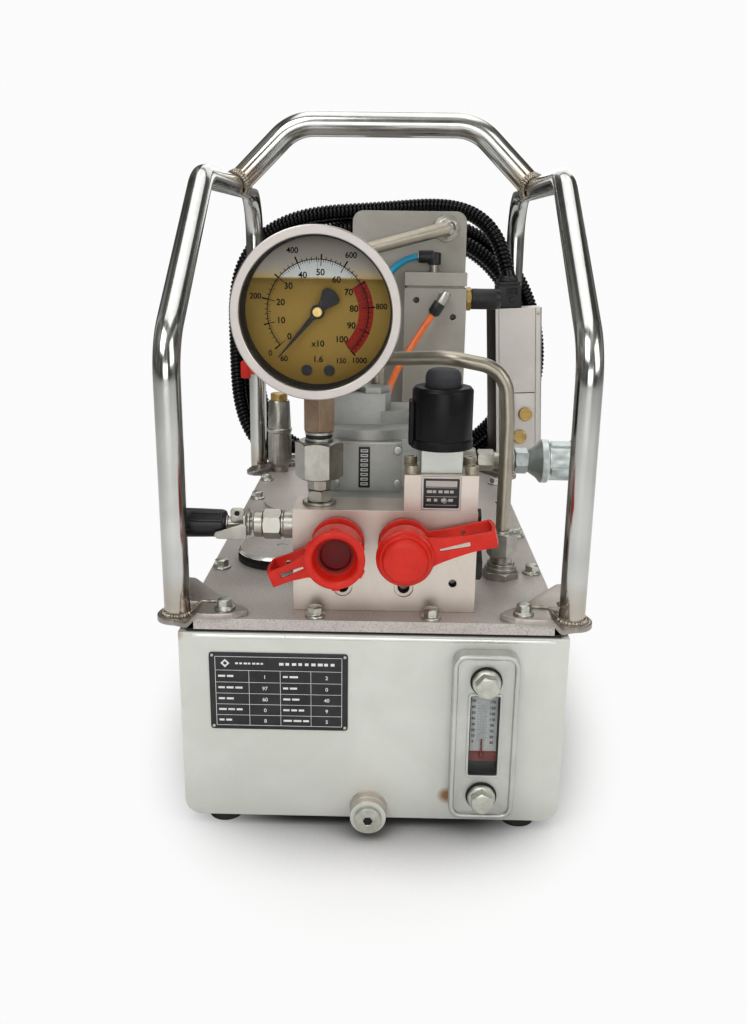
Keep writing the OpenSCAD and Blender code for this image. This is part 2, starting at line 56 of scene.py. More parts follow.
RY = Matrix.Rotation(rad(-90), 4, "X")     # +Z to +Y
RX = Matrix.Rotation(rad(90), 4, "Y")      # +Z to +X


def T(x, y, z):
    return Matrix.Translation((x, y, z))


def Rz(a):
    return Matrix.Rotation(rad(a), 4, "Z")


def Ry(a):
    return Matrix.Rotation(rad(a), 4, "Y")


def Rx(a):
    return Matrix.Rotation(rad(a), 4, "X")


# ---------------------------------------------------------------- camera
cam_data = bpy.data.cameras.new("camera")
cam_data.lens = 33.904
cam_data.sensor_width = 36.0
cam_data.clip_start = 0.01
cam = bpy.data.objects.new("camera", cam_data)
scene.collection.objects.link(cam)
cam.matrix_world = Matrix.Translation((0.00268, -0.85065, 0.40754)) @ Rz(0.917) @ Rx(90 - 15.989) @ Rz(0.732)
scene.camera = cam


# ---------------------------------------------------------------- geometry in mm, tank frame
def lathe(prof, n=64, a0=0.0, a1=360.0):
    full = abs(a1 - a0 - 360) < 1e-6
    k = n if full else n + 1
    vs, rings, fs = [], [], []
    for r, z in prof:
        if r < 1e-6:
            rings.append([len(vs)] * k)
            vs.append((0, 0, z))
        else:
            rings.append(list(range(len(vs), len(vs) + k)))
            for j in range(k):
                a = rad(a0 + (a1 - a0) * j / n)
                vs.append((r * math.cos(a), r * math.sin(a), z))
    for i in range(len(prof) - 1):
        A, B = rings[i], rings[i + 1]
        for j in range(n):
            q = [A[j], A[(j + 1) % k], B[(j + 1) % k], B[j]]
            q = [x for x, y in zip(q, q[1:] + q[:1]) if x != y]
            if len(q) > 2:
                fs.append(tuple(q))
    return vs, fs


def ringed(prof, n=64):
    return lathe(list(prof) + [prof[0]], n)


def hexhead(h, af, z0=0.0, both=False, dome=0.0, hole=0.0, n=48, k=0.95, depth=None):
    """Hexagon with the curved corner chamfers of a turned head."""
    def rh(j):
        a = (360 * j / n + 30) % 60 - 30
        return af / 2 / math.cos(rad(a))
    rc = af / 2 * k
    rows = []
    lo = [(rc, z0)] * n if both else [(rh(j), z0) for j in range(n)]
    if both:
        rows.append(lo)
        rows.append([(rh(j), z0 + (rh(j) - rc) * 0.577) for j in range(n)])
    else:
        rows.append(lo)
    rows.append([(rh(j), z0 + h - (rh(j) - rc) * 0.577) for j in range(n)])
    rows.append([(rc, z0 + h)] * n)
    if hole:
        rows.append([(hole, z0 + h)] * n)
        d = h if depth is None else depth
        rows.append([(hole, z0 + h - d)] * n)
    vs, fs = [], []
    for row in rows:
        for j, (r, z) in enumerate(row):
            a = rad(360 * j / n)
            vs.append((r * math.cos(a), r * math.sin(a), z))
    for i in range(len(rows) - 1):
        for j in range(n):
            fs.append((i * n + j, i * n + (j + 1) % n, (i + 1) * n + (j + 1) % n, (i + 1) * n + j))
    last = (len(rows) - 1) * n
    if hole and depth is None:
        for j in range(n):
            fs.append((last + j, last + (j + 1) % n, (j + 1) % n, j))
    else:
        if dome and not hole:
            for q in range(1, 4):
                f = math.cos(rad(q * 22))
                for j in range(n):
                    a = rad(360 * j / n)
                    vs.append((rc * f * math.cos(a), rc * f * math.sin(a), z0 + h + dome * math.sin(rad(q * 22))))
                for j in range(n):
                    fs.append((last + j, last + (j + 1) % n, last + n + (j + 1) % n, last + n + j))
                last += n
        fs.append(tuple(last + j for j in range(n)))
        fs.append(tuple(j for j in reversed(range(n))))
    return vs, fs


def prism(poly, z0, z1):
    n = len(poly)
    vs = [(x, y, z0) for x, y in poly] + [(x, y, z1) for x, y in poly]
    fs = [tuple(reversed(range(n))), tuple(range(n, 2 * n))]
    fs += [(j, (j + 1) % n, n + (j + 1) % n, n + j) for j in range(n)]
    return vs, fs


def box(x0, y0, z0, x1, y1, z1):
    return prism([(x0, y0), (x1, y0), (x1, y1), (x0, y1)], z0, z1)


def circle(r, n=32, cx=0.0, cy=0.0, a0=0.0, a1=360.0):
    m = n if abs(a1 - a0 - 360) < 1e-6 else n + 1
    return [(cx + r * math.cos(rad(a0 + (a1 - a0) * j / n)), cy + r * math.sin(rad(a0 + (a1 - a0) * j / n))) for j in range(m)]


def rrect(w, h, r, n=6, cx=0.0, cy=0.0):
    out = []
    for sx, sy, a in ((1, -1, -90), (1, 1, 0), (-1, 1, 90), (-1, -1, 180)):
        out += circle(r, n, cx + sx * (w / 2 - r), cy + sy * (h / 2 - r), a, a + 90)
    return out


def flat(outlines, z0, z1, bevel=0.0, res=2):
    """A plate with holes: outlines in mm, extruded from z0 to z1 with rounded edges."""
    cu = bpy.data.curves.new("tmp", "CURVE")
    cu.dimensions = "2D"
    cu.fill_mode = "BOTH"
    for pts in outlines:
        sp = cu.splines.new("POLY")
        sp.points.add(len(pts) - 1)
        for p, (x, y) in zip(sp.points, pts):
            p.co = (x, y, 0, 1)
        sp.use_cyclic_u = True
    cu.extrude = (z1 - z0) / 2 - bevel
    cu.bevel_depth = bevel
    cu.bevel_resolution = res
    cu.offset = -bevel
    ob = bpy.data.objects.new("tmp", cu)
    scene.collection.objects.link(ob)
    dg = bpy.context.evaluated_depsgraph_get()
    me = bpy.data.meshes.new_from_object(ob.evaluated_get(dg))
    bm = bmesh.new()
    bm.from_mesh(me)
    bmesh.ops.remove_doubles(bm, verts=bm.verts, dist=0.0005)
    bmesh.ops.dissolve_limit(bm, angle_limit=rad(0.5), verts=bm.verts, edges=bm.edges)
    bmesh.ops.recalc_face_normals(bm, faces=bm.faces)
    zc = (z0 + z1) / 2
    vs = [(v.co.x, v.co.y, v.co.z + zc) for v in bm.verts]
    bm.verts.index_update()
    fs = [tuple(v.index for v in f.verts) for f in bm.faces]
    bm.free()
    bpy.data.objects.remove(ob)
    bpy.data.curves.remove(cu)
    bpy.data.meshes.remove(me)
    return vs, fs


def fillet(pts, R, n=12):
    """Polyline with circular corners, the same construction as the frame's tubes."""
    P = [np.array(p, float) for p in pts]
    out = [P[0]]
    for i in range(1, len(P) - 1):
        p, q, s = P[i - 1], P[i], P[i + 1]
        u = (p - q) / np.linalg.norm(p - q)
        v = (s - q) / np.linalg.norm(s - q)
        h = math.acos(max(-1, min(1, float(u @ v)))) / 2
        t = min(R / math.tan(h), 0.48 * np.linalg.norm(p - q), 0.48 * np.linalg.norm(s - q))
        r = t * math.tan(h)
        m = (u + v) / np.linalg.norm(u + v)
        e = (v - u) / np.linalg.norm(v - u)
        c = q + m * (r / math.sin(h))
        w = PI / 2 - h
        for k in range(n + 1):
            f = -w + 2 * w * k / n
            out.append(c - m * (r * math.cos(f)) + e * (r * math.sin(f)))
    out.append(P[-1])
    return np.array(out)


def rounded(pts, R, n=4):
    """Closed outline with rounded corners."""
    m = tuple((np.array(pts[0], float) + np.array(pts[-1], float)) / 2)
    return [tuple(q) for q in fillet([m] + list(pts) + [m], R, n)[:-1]]


def resample(P, step):
    P = np.asarray(P, float)
    d = np.r_[0, np.cumsum(np.linalg.norm(np.diff(P, axis=0), axis=1))]
    n = max(2, int(round(d[-1] / step)) + 1)
    s = np.linspace(0, d[-1], n)
    return np.stack([np.interp(s, d, P[:, i]) for i in range(3)], 1), s, d[-1]


def relax(P, rounds):
    P = P.copy()
    for _ in range(rounds):
        P[1:-1] = P[1:-1] * 0.5 + (P[:-2] + P[2:]) * 0.25
    return P


def tube(P, r, n=24, cap=True, up=(0.31, 0.87, 0.38), rings=None):
    """Swept tube; r is a number or one radius for each point."""
    P = np.asarray(P, float)
    k = len(P)
    R = np.full(k, r) if np.isscalar(r) else np.asarray(r)
    t = np.empty_like(P)
    t[1:-1] = P[2:] - P[:-2]
    t[0] = P[1] - P[0]
    t[-1] = P[-1] - P[-2]
    t /= np.linalg.norm(t, axis=1)[:, None]
    m = np.array(up, float)
    vs = np.empty((k, n, 3))
    ca = np.cos(2 * PI * np.arange(n) / n)
    sa = np.sin(2 * PI * np.arange(n) / n)
    for i in range(k):
        m = m - (m @ t[i]) * t[i]
        m /= np.linalg.norm(m)
        b = np.cross(t[i], m)
        vs[i] = P[i] + (ca[:, None] * m + sa[:, None] * b) * R[i]
    V = [tuple(x) for x in vs.reshape(-1, 3)]
    F = [(i * n + j, i * n + (j + 1) % n, (i + 1) * n + (j + 1) % n, (i + 1) * n + j) for i in range(k - 1) for j in range(n)]
    if cap:
        F.append(tuple(reversed(range(n))))
        F.append(tuple((k - 1) * n + j for j in range(n)))
    return V, F


class Part:
    def __init__(self):
        self.v, self.f, self.m = [], [], []

    def add(self, geo, m=0, at=None):
        vs, fs = geo
        b = len(self.v)
        flip = False
        if at is not None:
            flip = at.to_3x3().determinant() < 0
            vs = [tuple(at @ Vector(v)) for v in vs]
        self.v += vs
        self.f += [tuple(b + i for i in (reversed(f) if flip else f)) for f in fs]
        self.m += [m] * len(fs)
        return self

    def make(self, name, mats, body="root", bevel=0.0, angle=32, seg=2, replaces=(), stage=False, ride=True, fix=True):
        me = bpy.data.meshes.new(name)
        me.from_pydata([W(*v) for v in self.v], [], self.f)
        for m in mats:
            me.materials.append(MAT[m] if isinstance(m, str) else m)
        me.polygons.foreach_set("material_index", self.m)
        bm = bmesh.new()
        bm.from_mesh(me)
        bmesh.ops.remove_doubles(bm, verts=bm.verts, dist=2e-7)
        if fix:
            bmesh.ops.recalc_face_normals(bm, faces=bm.faces)
        for f in bm.faces:
            f.smooth = True
        bm.to_mesh(me)
        bm.free()
        me.set_sharp_from_angle(angle=rad(angle))
        ob = bpy.data.objects.new(name, me)
        scene.collection.objects.link(ob)
        if bevel:
            md = ob.modifiers.new("edge", "BEVEL")
            md.width = bevel * S
            md.segments = seg
            md.limit_method = "ANGLE"
            md.angle_limit = rad(angle)
            md.harden_normals = True
            md.use_clamp_overlap = True
        if ride:
            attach(ob, body)
        if replaces:
            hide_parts(*replaces)
        return ob


# ---------------------------------------------------------------- materials
MAT = {}


def material(name, c1, c2=None, metal=0.0, rough=0.4, rough2=None, big=45.0, grain=0.0, gd=0.02, gs=0.3, brush=None, bs=0.15, bd=0.02, speck=None, alpha=None, coat=0.0, trans=0.0, ior=None, spec=None, zmix=None, heat=None, dist=0.5):
    m = bpy.data.materials.new(name)
    m.use_nodes = True
    nt = m.node_tree
    N, L = nt.nodes, nt.links
    bsdf = N["Principled BSDF"]
    bsdf.inputs["Metallic"].default_value = metal
    bsdf.inputs["Roughness"].default_value = rough
    if coat:
        bsdf.inputs["Coat Weight"].default_value = coat
        bsdf.inputs["Coat Roughness"].default_value = 0.12
    if trans:
        bsdf.inputs["Transmission Weight"].default_value = trans
    if ior:
        bsdf.inputs["IOR"].default_value = ior
    if spec is not None:
        bsdf.inputs["Specular IOR Level"].default_value = spec
    if alpha is not None:
        bsdf.inputs["Alpha"].default_value = alpha
    tc = N.new("ShaderNodeTexCoord")
    obj = tc.outputs["Object"]
    c2 = c2 or tuple(min(1, c * 1.12) for c in c1)
    n1 = N.new("ShaderNodeTexNoise")
    n1.inputs["Scale"].default_value = big
    n1.inputs["Detail"].default_value = 6
    n1.inputs["Roughness"].default_value = 0.62
    n1.inputs["Distortion"].default_value = dist
    L.new(obj, n1.inputs["Vector"])
    cr = N.new("ShaderNodeValToRGB")
    cr.color_ramp.elements[0].position = 0.36
    cr.color_ramp.elements[1].position = 0.66
    cr.color_ramp.elements[0].color = (*c1, 1)
    cr.color_ramp.elements[1].color = (*c2, 1)
    L.new(n1.outputs["Fac"], cr.inputs["Fac"])
    col = cr.outputs["Color"]
    if speck:
        # fine grain of lighter and darker points
        sc, amount, cs = speck
        ns = N.new("ShaderNodeTexNoise")
        ns.inputs["Scale"].default_value = sc
        ns.inputs["Detail"].default_value = 3
        L.new(obj, ns.inputs["Vector"])
        rs = N.new("ShaderNodeMapRange")
        rs.inputs["From Min"].default_value = 0.48
        rs.inputs["From Max"].default_value = 0.72
        rs.inputs["To Max"].default_value = amount
        L.new(ns.outputs["Fac"], rs.inputs["Value"])
        mx = N.new("ShaderNodeMix")
        mx.data_type = "RGBA"
        L.new(rs.outputs["Result"], mx.inputs["Factor"])
        L.new(col, mx.inputs["A"])
        mx.inputs["B"].default_value = (*cs, 1)
        col = mx.outputs["Result"]
    if heat:
        # tint near given points: list of (centre mm, radius mm, colour, amount)
        for c, r, hc, am in heat:
            vm = N.new("ShaderNodeVectorMath")
            vm.operation = "DISTANCE"
            L.new(obj, vm.inputs[0])
            vm.inputs[1].default_value = W(*c)
            mr = N.new("ShaderNodeMapRange")
            mr.inputs["From Min"].default_value = r * S * 0.35
            mr.inputs["From Max"].default_value = r * S
            mr.inputs["To Min"].default_value = am
            mr.inputs["To Max"].default_value = 0.0
            L.new(vm.outputs["Value"], mr.inputs["Value"])
            mx = N.new("ShaderNodeMix")
            mx.data_type = "RGBA"
            L.new(mr.outputs["Result"], mx.inputs["Factor"])
            L.new(col, mx.inputs["A"])
            mx.inputs["B"].default_value = (*hc, 1)
            col = mx.outputs["Result"]
    L.new(col, bsdf.inputs["Base Color"])
    rough2 = rough2 if rough2 is not None else min(1, rough * 1.25 + 0.03)
    mr = N.new("ShaderNodeMapRange")
    mr.inputs["From Min"].default_value = 0.3
    mr.inputs["From Max"].default_value = 0.7
    mr.inputs["To Min"].default_value = rough
    mr.inputs["To Max"].default_value = rough2
    L.new(n1.outputs["Fac"], mr.inputs["Value"])
    L.new(mr.outputs["Result"], bsdf.inputs["Roughness"])
    normal = None
    if brush:
        mp = N.new("ShaderNodeMapping")
        mp.inputs["Scale"].default_value = brush
        L.new(obj, mp.inputs["Vector"])
        nb = N.new("ShaderNodeTexNoise")
        nb.inputs["Scale"].default_value = 1.0
        nb.inputs["Detail"].default_value = 5
        nb.inputs["Roughness"].default_value = 0.7
        L.new(mp.outputs["Vector"], nb.inputs["Vector"])
        bp = N.new("ShaderNodeBump")
        bp.inputs["Strength"].default_value = bs
        bp.inputs["Distance"].default_value = bd * S
        L.new(nb.outputs["Fac"], bp.inputs["Height"])
        normal = bp.outputs["Normal"]
    if grain:
        ng = N.new("ShaderNodeTexNoise")
        ng.inputs["Scale"].default_value = grain
        ng.inputs["Detail"].default_value = 3
        ng.inputs["Roughness"].default_value = 0.6
        L.new(obj, ng.inputs["Vector"])
        bp = N.new("ShaderNodeBump")
        bp.inputs["Strength"].default_value = gs
        bp.inputs["Distance"].default_value = gd * S
        L.new(ng.outputs["Fac"], bp.inputs["Height"])
        if normal is not None:
            L.new(normal, bp.inputs["Normal"])
        normal = bp.outputs["Normal"]
    if normal is not None:
        L.new(normal, bsdf.inputs["Normal"])
    MAT[name] = m
    return m


H = [(-137, 330, 292), (137, 330, 292)]
material("tank_steel", (0.58, 0.59, 0.55), (0.64, 0.65, 0.61), metal=0.35, rough=0.36, rough2=0.44, big=14, grain=2600, gs=0.35, gd=0.02, speck=(1500, 0.12, (0.42, 0.42, 0.41)),
         heat=[((53, 0, -131), 7, (0.28, 0.12, 0.03), 0.9), ((-133, 1, -12), 5, (0.25, 0.13, 0.05), 0.5)])
# brighter, glossier copy of the tank steel: painted highlight along the tank's top edge
material("tank_steel_painted_highlight", (0.70, 0.71, 0.67), (0.80, 0.81, 0.77), metal=0.7, rough=0.26, rough2=0.34, big=14, grain=1600, gs=0.15)
material("foot_rubber", (0.035, 0.033, 0.03), (0.06, 0.055, 0.05), rough=0.75, big=150, grain=1800, gs=0.4)
material("seal_rubber", (0.012, 0.012, 0.012), (0.03, 0.03, 0.03), rough=0.6, big=200, grain=1500)
material("blasted_aluminium", (0.50, 0.46, 0.435), (0.575, 0.535, 0.51), metal=0.5, rough=0.46, rough2=0.56, big=16, grain=1900, gs=0.7, gd=0.05, speck=(1050, 0.75, (0.27, 0.245, 0.235)))
# bright machined finish, made brighter still as a painted highlight
material("machined_edge_and_painted_highlight", (0.80, 0.79, 0.76), (0.90, 0.89, 0.86), metal=0.9, rough=0.22, rough2=0.3, big=60, grain=900, gs=0.1)
material("zinc_fastener", (0.46, 0.47, 0.42), (0.60, 0.60, 0.55), metal=1.0, rough=0.30, rough2=0.42, big=160, grain=900, gs=0.12, speck=(500, 0.25, (0.42, 0.40, 0.33)))
material("polished_stainless", (0.49, 0.495, 0.48), (0.59, 0.595, 0.58), metal=1.0, rough=0.13, rough2=0.21, big=20, brush=(900, 900, 60), bs=0.10, bd=0.012, grain=260, gs=0.05, gd=0.05,
         heat=[((-126, 330, 300), 22, (0.42, 0.27, 0.12), 0.55), ((126, 330, 300), 22, (0.42, 0.27, 0.12), 0.55)] + [((x, y, 4), 24, (0.38, 0.29, 0.20), 0.45) for x in (-137, 137) for y in (22, 450)])
material("weld_bead", (0.30, 0.26, 0.21), (0.50, 0.46, 0.40), metal=1.0, rough=0.3, rough2=0.5, big=400, grain=900, gs=0.5, gd=0.08)
material("lug_steel", (0.33, 0.30, 0.275), (0.44, 0.405, 0.375), metal=0.95, rough=0.3, rough2=0.42, big=30, grain=1500, gs=0.25, brush=(120, 1400, 1400), bs=0.15)
material("satin_cast_aluminium", (0.47, 0.48, 0.455), (0.56, 0.57, 0.545), metal=0.75, rough=0.30, rough2=0.40, big=28, grain=1500, gs=0.3, gd=0.03, speck=(800, 0.2, (0.50, 0.51, 0.50)))
material("scale_white", (0.62, 0.66, 0.65), (0.72, 0.75, 0.74), rough=0.45, big=60, grain=700, gs=0.05)
material("plate_black", (0.014, 0.014, 0.016), (0.028, 0.028, 0.032), rough=0.34, rough2=0.42, big=60, grain=2200, gs=0.2)
material("plate_print", (0.62, 0.63, 0.62), (0.74, 0.75, 0.74), rough=0.4, big=300, grain=1200, gs=0.1)
material("satin_aluminium", (0.56, 0.50, 0.445), (0.64, 0.585, 0.53), metal=0.85, rough=0.34, rough2=0.42, big=18, grain=2000, gs=0.22, gd=0.02, brush=(60, 60, 2200), bs=0.12, bd=0.012, speck=(1400, 0.18, (0.46, 0.42, 0.39)))
material("black_oxide", (0.02, 0.02, 0.02), (0.045, 0.045, 0.045), metal=0.5, rough=0.42, big=120, grain=900, gs=0.2)
material("nickel_steel", (0.35, 0.34, 0.305), (0.47, 0.46, 0.42), metal=1.0, rough=0.30, rough2=0.40, big=90, grain=1200, gs=0.12, speck=(700, 0.2, (0.40, 0.37, 0.32)))
material("bronze_hex", (0.24, 0.17, 0.12), (0.34, 0.26, 0.19), metal=0.9, rough=0.34, rough2=0.46, big=70, grain=900, gs=0.15)
material("red_plastic", (0.50, 0.020, 0.010), (0.59, 0.030, 0.017), rough=0.38, rough2=0.48, big=70, grain=900, gs=0.22, gd=0.03, coat=0.08, spec=0.32)
# darker red for the open cap's inner floor: painted shade in the recess
material("red_plastic_painted_shade", (0.13, 0.002, 0.002), (0.20, 0.004, 0.004), rough=0.5, big=70, grain=700, gs=0.2)
material("brushed_stainless", (0.375, 0.35, 0.33), (0.45, 0.42, 0.40), metal=0.9, rough=0.30, rough2=0.38, big=14, grain=1200, gs=0.08, brush=(1600, 60, 1600), bs=0.12, bd=0.01)
material("pointer_black", (0.012, 0.012, 0.013), (0.022, 0.022, 0.024), rough=0.4, big=200, grain=900, gs=0.1)
material("brass", (0.42, 0.29, 0.11), (0.55, 0.40, 0.18), metal=0.95, rough=0.32, rough2=0.44, big=110, grain=800, gs=0.15)
material("hub_gold", (0.62, 0.44, 0.17), (0.75, 0.56, 0.26), metal=0.9, rough=0.3, big=300, grain=1200, gs=0.1)
material("coil_black", (0.004, 0.004, 0.0045), (0.008, 0.008, 0.009), rough=0.33, rough2=0.42, big=80, grain=900, gs=0.16, gd=0.03, spec=0.28)
material("boot_rubber", (0.030, 0.031, 0.036), (0.045, 0.046, 0.052), rough=0.62, rough2=0.72, big=90, grain=1500, gs=0.3, gd=0.03)
material("screw_steel", (0.36, 0.32, 0.26), (0.50, 0.46, 0.39), metal=1.0, rough=0.36, rough2=0.5, big=220, grain=900, gs=0.2)
material("handle_black", (0.009, 0.009, 0.010), (0.02, 0.02, 0.022), rough=0.3, rough2=0.42, big=100, grain=1100, gs=0.25)
material("cast_aluminium", (0.40, 0.41, 0.395), (0.48, 0.49, 0.475), metal=0.7, rough=0.42, rough2=0.52, big=35, grain=1300, gs=0.6, gd=0.06, speck=(900, 0.3, (0.33, 0.335, 0.325)))
material("grey_painted_plate", (0.30, 0.285, 0.25), (0.37, 0.355, 0.32), metal=0.25, rough=0.42, rough2=0.5, big=14, grain=1800, gs=0.3)
material("fitting_black", (0.014, 0.014, 0.015), (0.026, 0.026, 0.028), rough=0.36, big=120, grain=1000, gs=0.2)
material("tube_blue", (0.008, 0.25, 0.42), (0.012, 0.32, 0.50), rough=0.26, rough2=0.34, big=90, grain=500, gs=0.06, coat=0.2)
material("tube_orange", (0.68, 0.14, 0.025), (0.78, 0.19, 0.035), rough=0.28, rough2=0.36, big=90, grain=500, gs=0.06, coat=0.2)
material("champagne_nickel", (0.38, 0.35, 0.29), (0.47, 0.435, 0.365), metal=0.9, rough=0.32, rough2=0.42, big=40, grain=1300, gs=0.18, speck=(600, 0.15, (0.30, 0.28, 0.22)))
material("galvanised", (0.50, 0.55, 0.54), (0.66, 0.70, 0.69), metal=0.9, rough=0.27, rough2=0.44, big=70, grain=350, gs=0.3, gd=0.2, speck=(260, 0.35, (0.36, 0.39, 0.38)))
material("pendant_aluminium", (0.49, 0.465, 0.44), (0.55, 0.525, 0.50), metal=0.8, rough=0.36, rough2=0.42, big=20, brush=(1500, 1500, 50), bs=0.10, bd=0.01, grain=1800, gs=0.1)
material("hose_black", (0.0022, 0.0022, 0.0026), (0.004, 0.004, 0.0048), rough=0.15, rough2=0.21, big=60, grain=500, gs=0.06, spec=0.34)
material("gauge_glass", (0.012, 0.012, 0.012), rough=0.03, rough2=0.05, alpha=0.05, big=5, grain=120, gs=0.01, spec=0.3)
material("clear_plastic", (0.10, 0.11, 0.11), rough=0.06, rough2=0.12, alpha=0.12, big=30, grain=200, gs=0.03)
material("oil_red", (0.24, 0.05, 0.04), (0.34, 0.09, 0.07), rough=0.3, big=200, grain=600, gs=0.05)
# dark finish on the pendant's left faces
material("pendant_dark_side", (0.045, 0.040, 0.034), (0.085, 0.075, 0.062), metal=0.6, rough=0.34, rough2=0.44, big=40, brush=(1200, 1200, 40), bs=0.2, grain=1500, gs=0.2)
material("mark_black", (0.008, 0.008, 0.008), (0.016, 0.016, 0.014), rough=0.6, spec=0.15, big=300, grain=1200, gs=0.1)
material("mark_red", (0.27, 0.022, 0.014), (0.34, 0.034, 0.022), rough=0.5, spec=0.2, big=80, grain=900, gs=0.1)

# ---------------------------------------------------------------- control hose (a cord), made first
CX, CZ = 6.5, 126.0
SLOTS = (-45.0, 65.0, 150.0, 232.0, 315.0)     # where each strand lies round the middle of the bundle


def coil_point(deg):
    t = rad(deg)
    k = 1 + (0.12 - 0.085 * math.cos(t)) * math.sin(2 * t) ** 2
    turn = (deg - 83.0) / 360.0
    base = math.floor(turn)
    f = turn - base
    # the four strands trade places together in one part of each turn
    w = min(1.0, max(0.0, (f - 0.60) / 0.26))
    w = w * w * (3 - 2 * w)
    phi = rad(SLOTS[int(base)] + (SLOTS[int(base) + 1] - SLOTS[int(base)]) * w)
    # the strands lie a little apart at the upper left
    g = 1 + 0.28 * math.exp(-((deg % 360 - 136) / 26.0) ** 2)
    dr = 12.1 * math.cos(phi) * g
    dy = 12.1 * math.sin(phi)
    return ((161 + dr) * math.cos(t) * k + CX, 494 + dy, (140 + dr) * math.sin(t) * k + CZ)


coil = [coil_point(a) for a in np.arange(96, 1316, 7.5)]
lead = [(128, 423, 211), (127.6, 423, 221), (126.4, 423.5, 234), (122.8, 424.5, 249), (115.5, 428.5, 263), (103, 436, 274.5), (86, 447, 281), (65, 460, 283), (43, 473, 282)]
tail = [(-49, 483, 2), (-32, 482, 5), (-10, 475, 12), (13, 460, 18), (33, 439, 23), (45, 414, 26.5), (50, 386, 28), (50, 366, 28), (50, 350, 28)]
route = np.array(lead + coil + tail)
route, _, _ = resample(route, 4.0)
ends = route[[0, -1]].copy()
route = relax(route, 150)
route, _, _ = resample(route, 0.8)
route[0], route[-1] = ends
path, s_path, L_hose = resample(route, 0.72)
# corrugated: a flat rib and a narrow groove every six rings
rib = np.array([0.0, 0.74, 1.0, 1.0, 1.0, 0.74])
rr_h = 6.45 + 1.55 * rib[np.arange(len(path)) % 6]
rr_h[s_path < 6] = 7.4
rr_h[s_path > L_hose - 6] = 7.4
hp = Part()
hp.add(tube(path, rr_h, n=18))
hose = hp.make("control_hose", ["hose_black"], angle=70, replaces=("control_hose_tube", "control_hose_coil"), fix=False)

# ---------------------------------------------------------------- stage and light
bm = bmesh.new()
prof = [(-3.0, 0.0), (3.0, 0.0)]
rows = [[bm.verts.new((x, y, z)) for x in (-9, 9)] for y, z in prof]
for a, b in zip(rows, rows[1:]):
    bm.faces.new((a[0], a[1], b[1], b[0])).smooth = True
me = bpy.data.meshes.new("floor")
bm.to_mesh(me)
bm.free()
floor = bpy.data.objects.new("floor", me)
scene.collection.objects.link(floor)
material("floor_paint", (0.93, 0.93, 0.93), (0.95, 0.95, 0.95), rough=0.65, big=2.0, grain=300, gs=0.03, spec=0.25)
me.materials.append(MAT["floor_paint"])
nt = MAT["floor_paint"].node_tree
out = [n for n in nt.nodes if n.type == "OUTPUT_MATERIAL"][0]
old = out.inputs["Surface"].links[0].from_socket
tcf = nt.nodes.new("ShaderNodeTexCoord")
sc_ = nt.nodes.new("ShaderNodeVectorMath")
sc_.operation = "MULTIPLY"
sc_.inputs[1].default_value = (1 / 0.160, 1 / 0.295, 0)
nt.links.new(tcf.outputs["Object"], sc_.inputs[0])
ln = nt.nodes.new("ShaderNodeVectorMath")
ln.operation = "LENGTH"
nt.links.new(sc_.outputs["Vector"], ln.inputs[0])
mr = nt.nodes.new("ShaderNodeMapRange")
mr.interpolation_type = "SMOOTHSTEP"
mr.inputs["From Min"].default_value = 0.88
mr.inputs["From Max"].default_value = 1.38
nt.links.new(ln.outputs["Value"], mr.inputs["Value"])
em = nt.nodes.new("ShaderNodeEmission")
em.inputs["Color"].default_value = (0.81, 0.81, 0.81, 1)
em.inputs["Strength"].default_value = 1.0
ms = nt.nodes.new("ShaderNodeMixShader")
lp_ = nt.nodes.new("ShaderNodeLightPath")
mm_ = nt.nodes.new("ShaderNodeMath")
mm_.operation = "MULTIPLY"
nt.links.new(mr.outputs["Result"], mm_.inputs[0])
nt.links.new(lp_.outputs["Is Camera Ray"], mm_.inputs[1])
nt.links.new(mm_.outputs["Value"], ms.inputs["Fac"])
nt.links.new(old, ms.inputs[1])
nt.links.new(em.outputs["Emission"], ms.inputs[2])
nt.links.new(ms.outputs["Shader"], out.inputs["Surface"])
# painted contact shadow: the floor's base colour is darkened by ambient occlusion near the object
pb = [n for n in nt.nodes if n.type == "BSDF_PRINCIPLED"][0]
src = pb.inputs["Base Color"].links[0].from_socket
ao = nt.nodes.new("ShaderNodeAmbientOcclusion")
ao.samples = 8
ao.inputs["Distance"].default_value = 0.075
pw = nt.nodes.new("ShaderNodeMath")
pw.operation = "POWER"
pw.inputs[1].default_value = 1.5
nt.links.new(ao.outputs["AO"], pw.inputs[0])
mu = nt.nodes.new("ShaderNodeMix")
mu.data_type = "RGBA"
mu.blend_type = "MULTIPLY"
mu.inputs["Factor"].default_value = 0.85
nt.links.new(src, mu.inputs["A"])
nt.links.new(pw.outputs["Value"], mu.inputs["B"])
nt.links.new(mu.outputs["Result"], pb.inputs["Base Color"])

scene.view_settings.view_transform = "Standard"
scene.view_settings.look = "Medium High Contrast"
world = bpy.data.worlds.new("studio")
scene.world = world
world.use_nodes = True
wn, wl = world.node_tree.nodes, world.node_tree.links
wn.clear()
wo = wn.new("ShaderNodeOutputWorld")
bg = wn.new("ShaderNodeBackground")
tc = wn.new("ShaderNodeTexCoord")
sx = wn.new("ShaderNodeSeparateXYZ")
wl.new(tc.outputs["Generated"], sx.inputs["Vector"])
rp = wn.new("ShaderNodeValToRGB")
els = rp.color_ramp.elements
els[0].position, els[0].color = 0.0, (0.30, 0.30, 0.30, 1)
els[1].position, els[1].color = 1.0, (0.95, 0.95, 0.95, 1)
for pos, c in ((0.46, 0.26), (0.52, 0.42), (0.60, 0.80), (0.75, 0.55)):
    e = els.new(pos)
    e.color = (c, c, c * 0.99, 1)
mz = wn.new("ShaderNodeMapRange")
mz.inputs["From Min"].default_value = -1
mz.inputs["From Max"].default_value = 1
wl.new(sx.outputs["Z"], mz.inputs["Value"])
wl.new(mz.outputs["Result"], rp.inputs["Fac"])
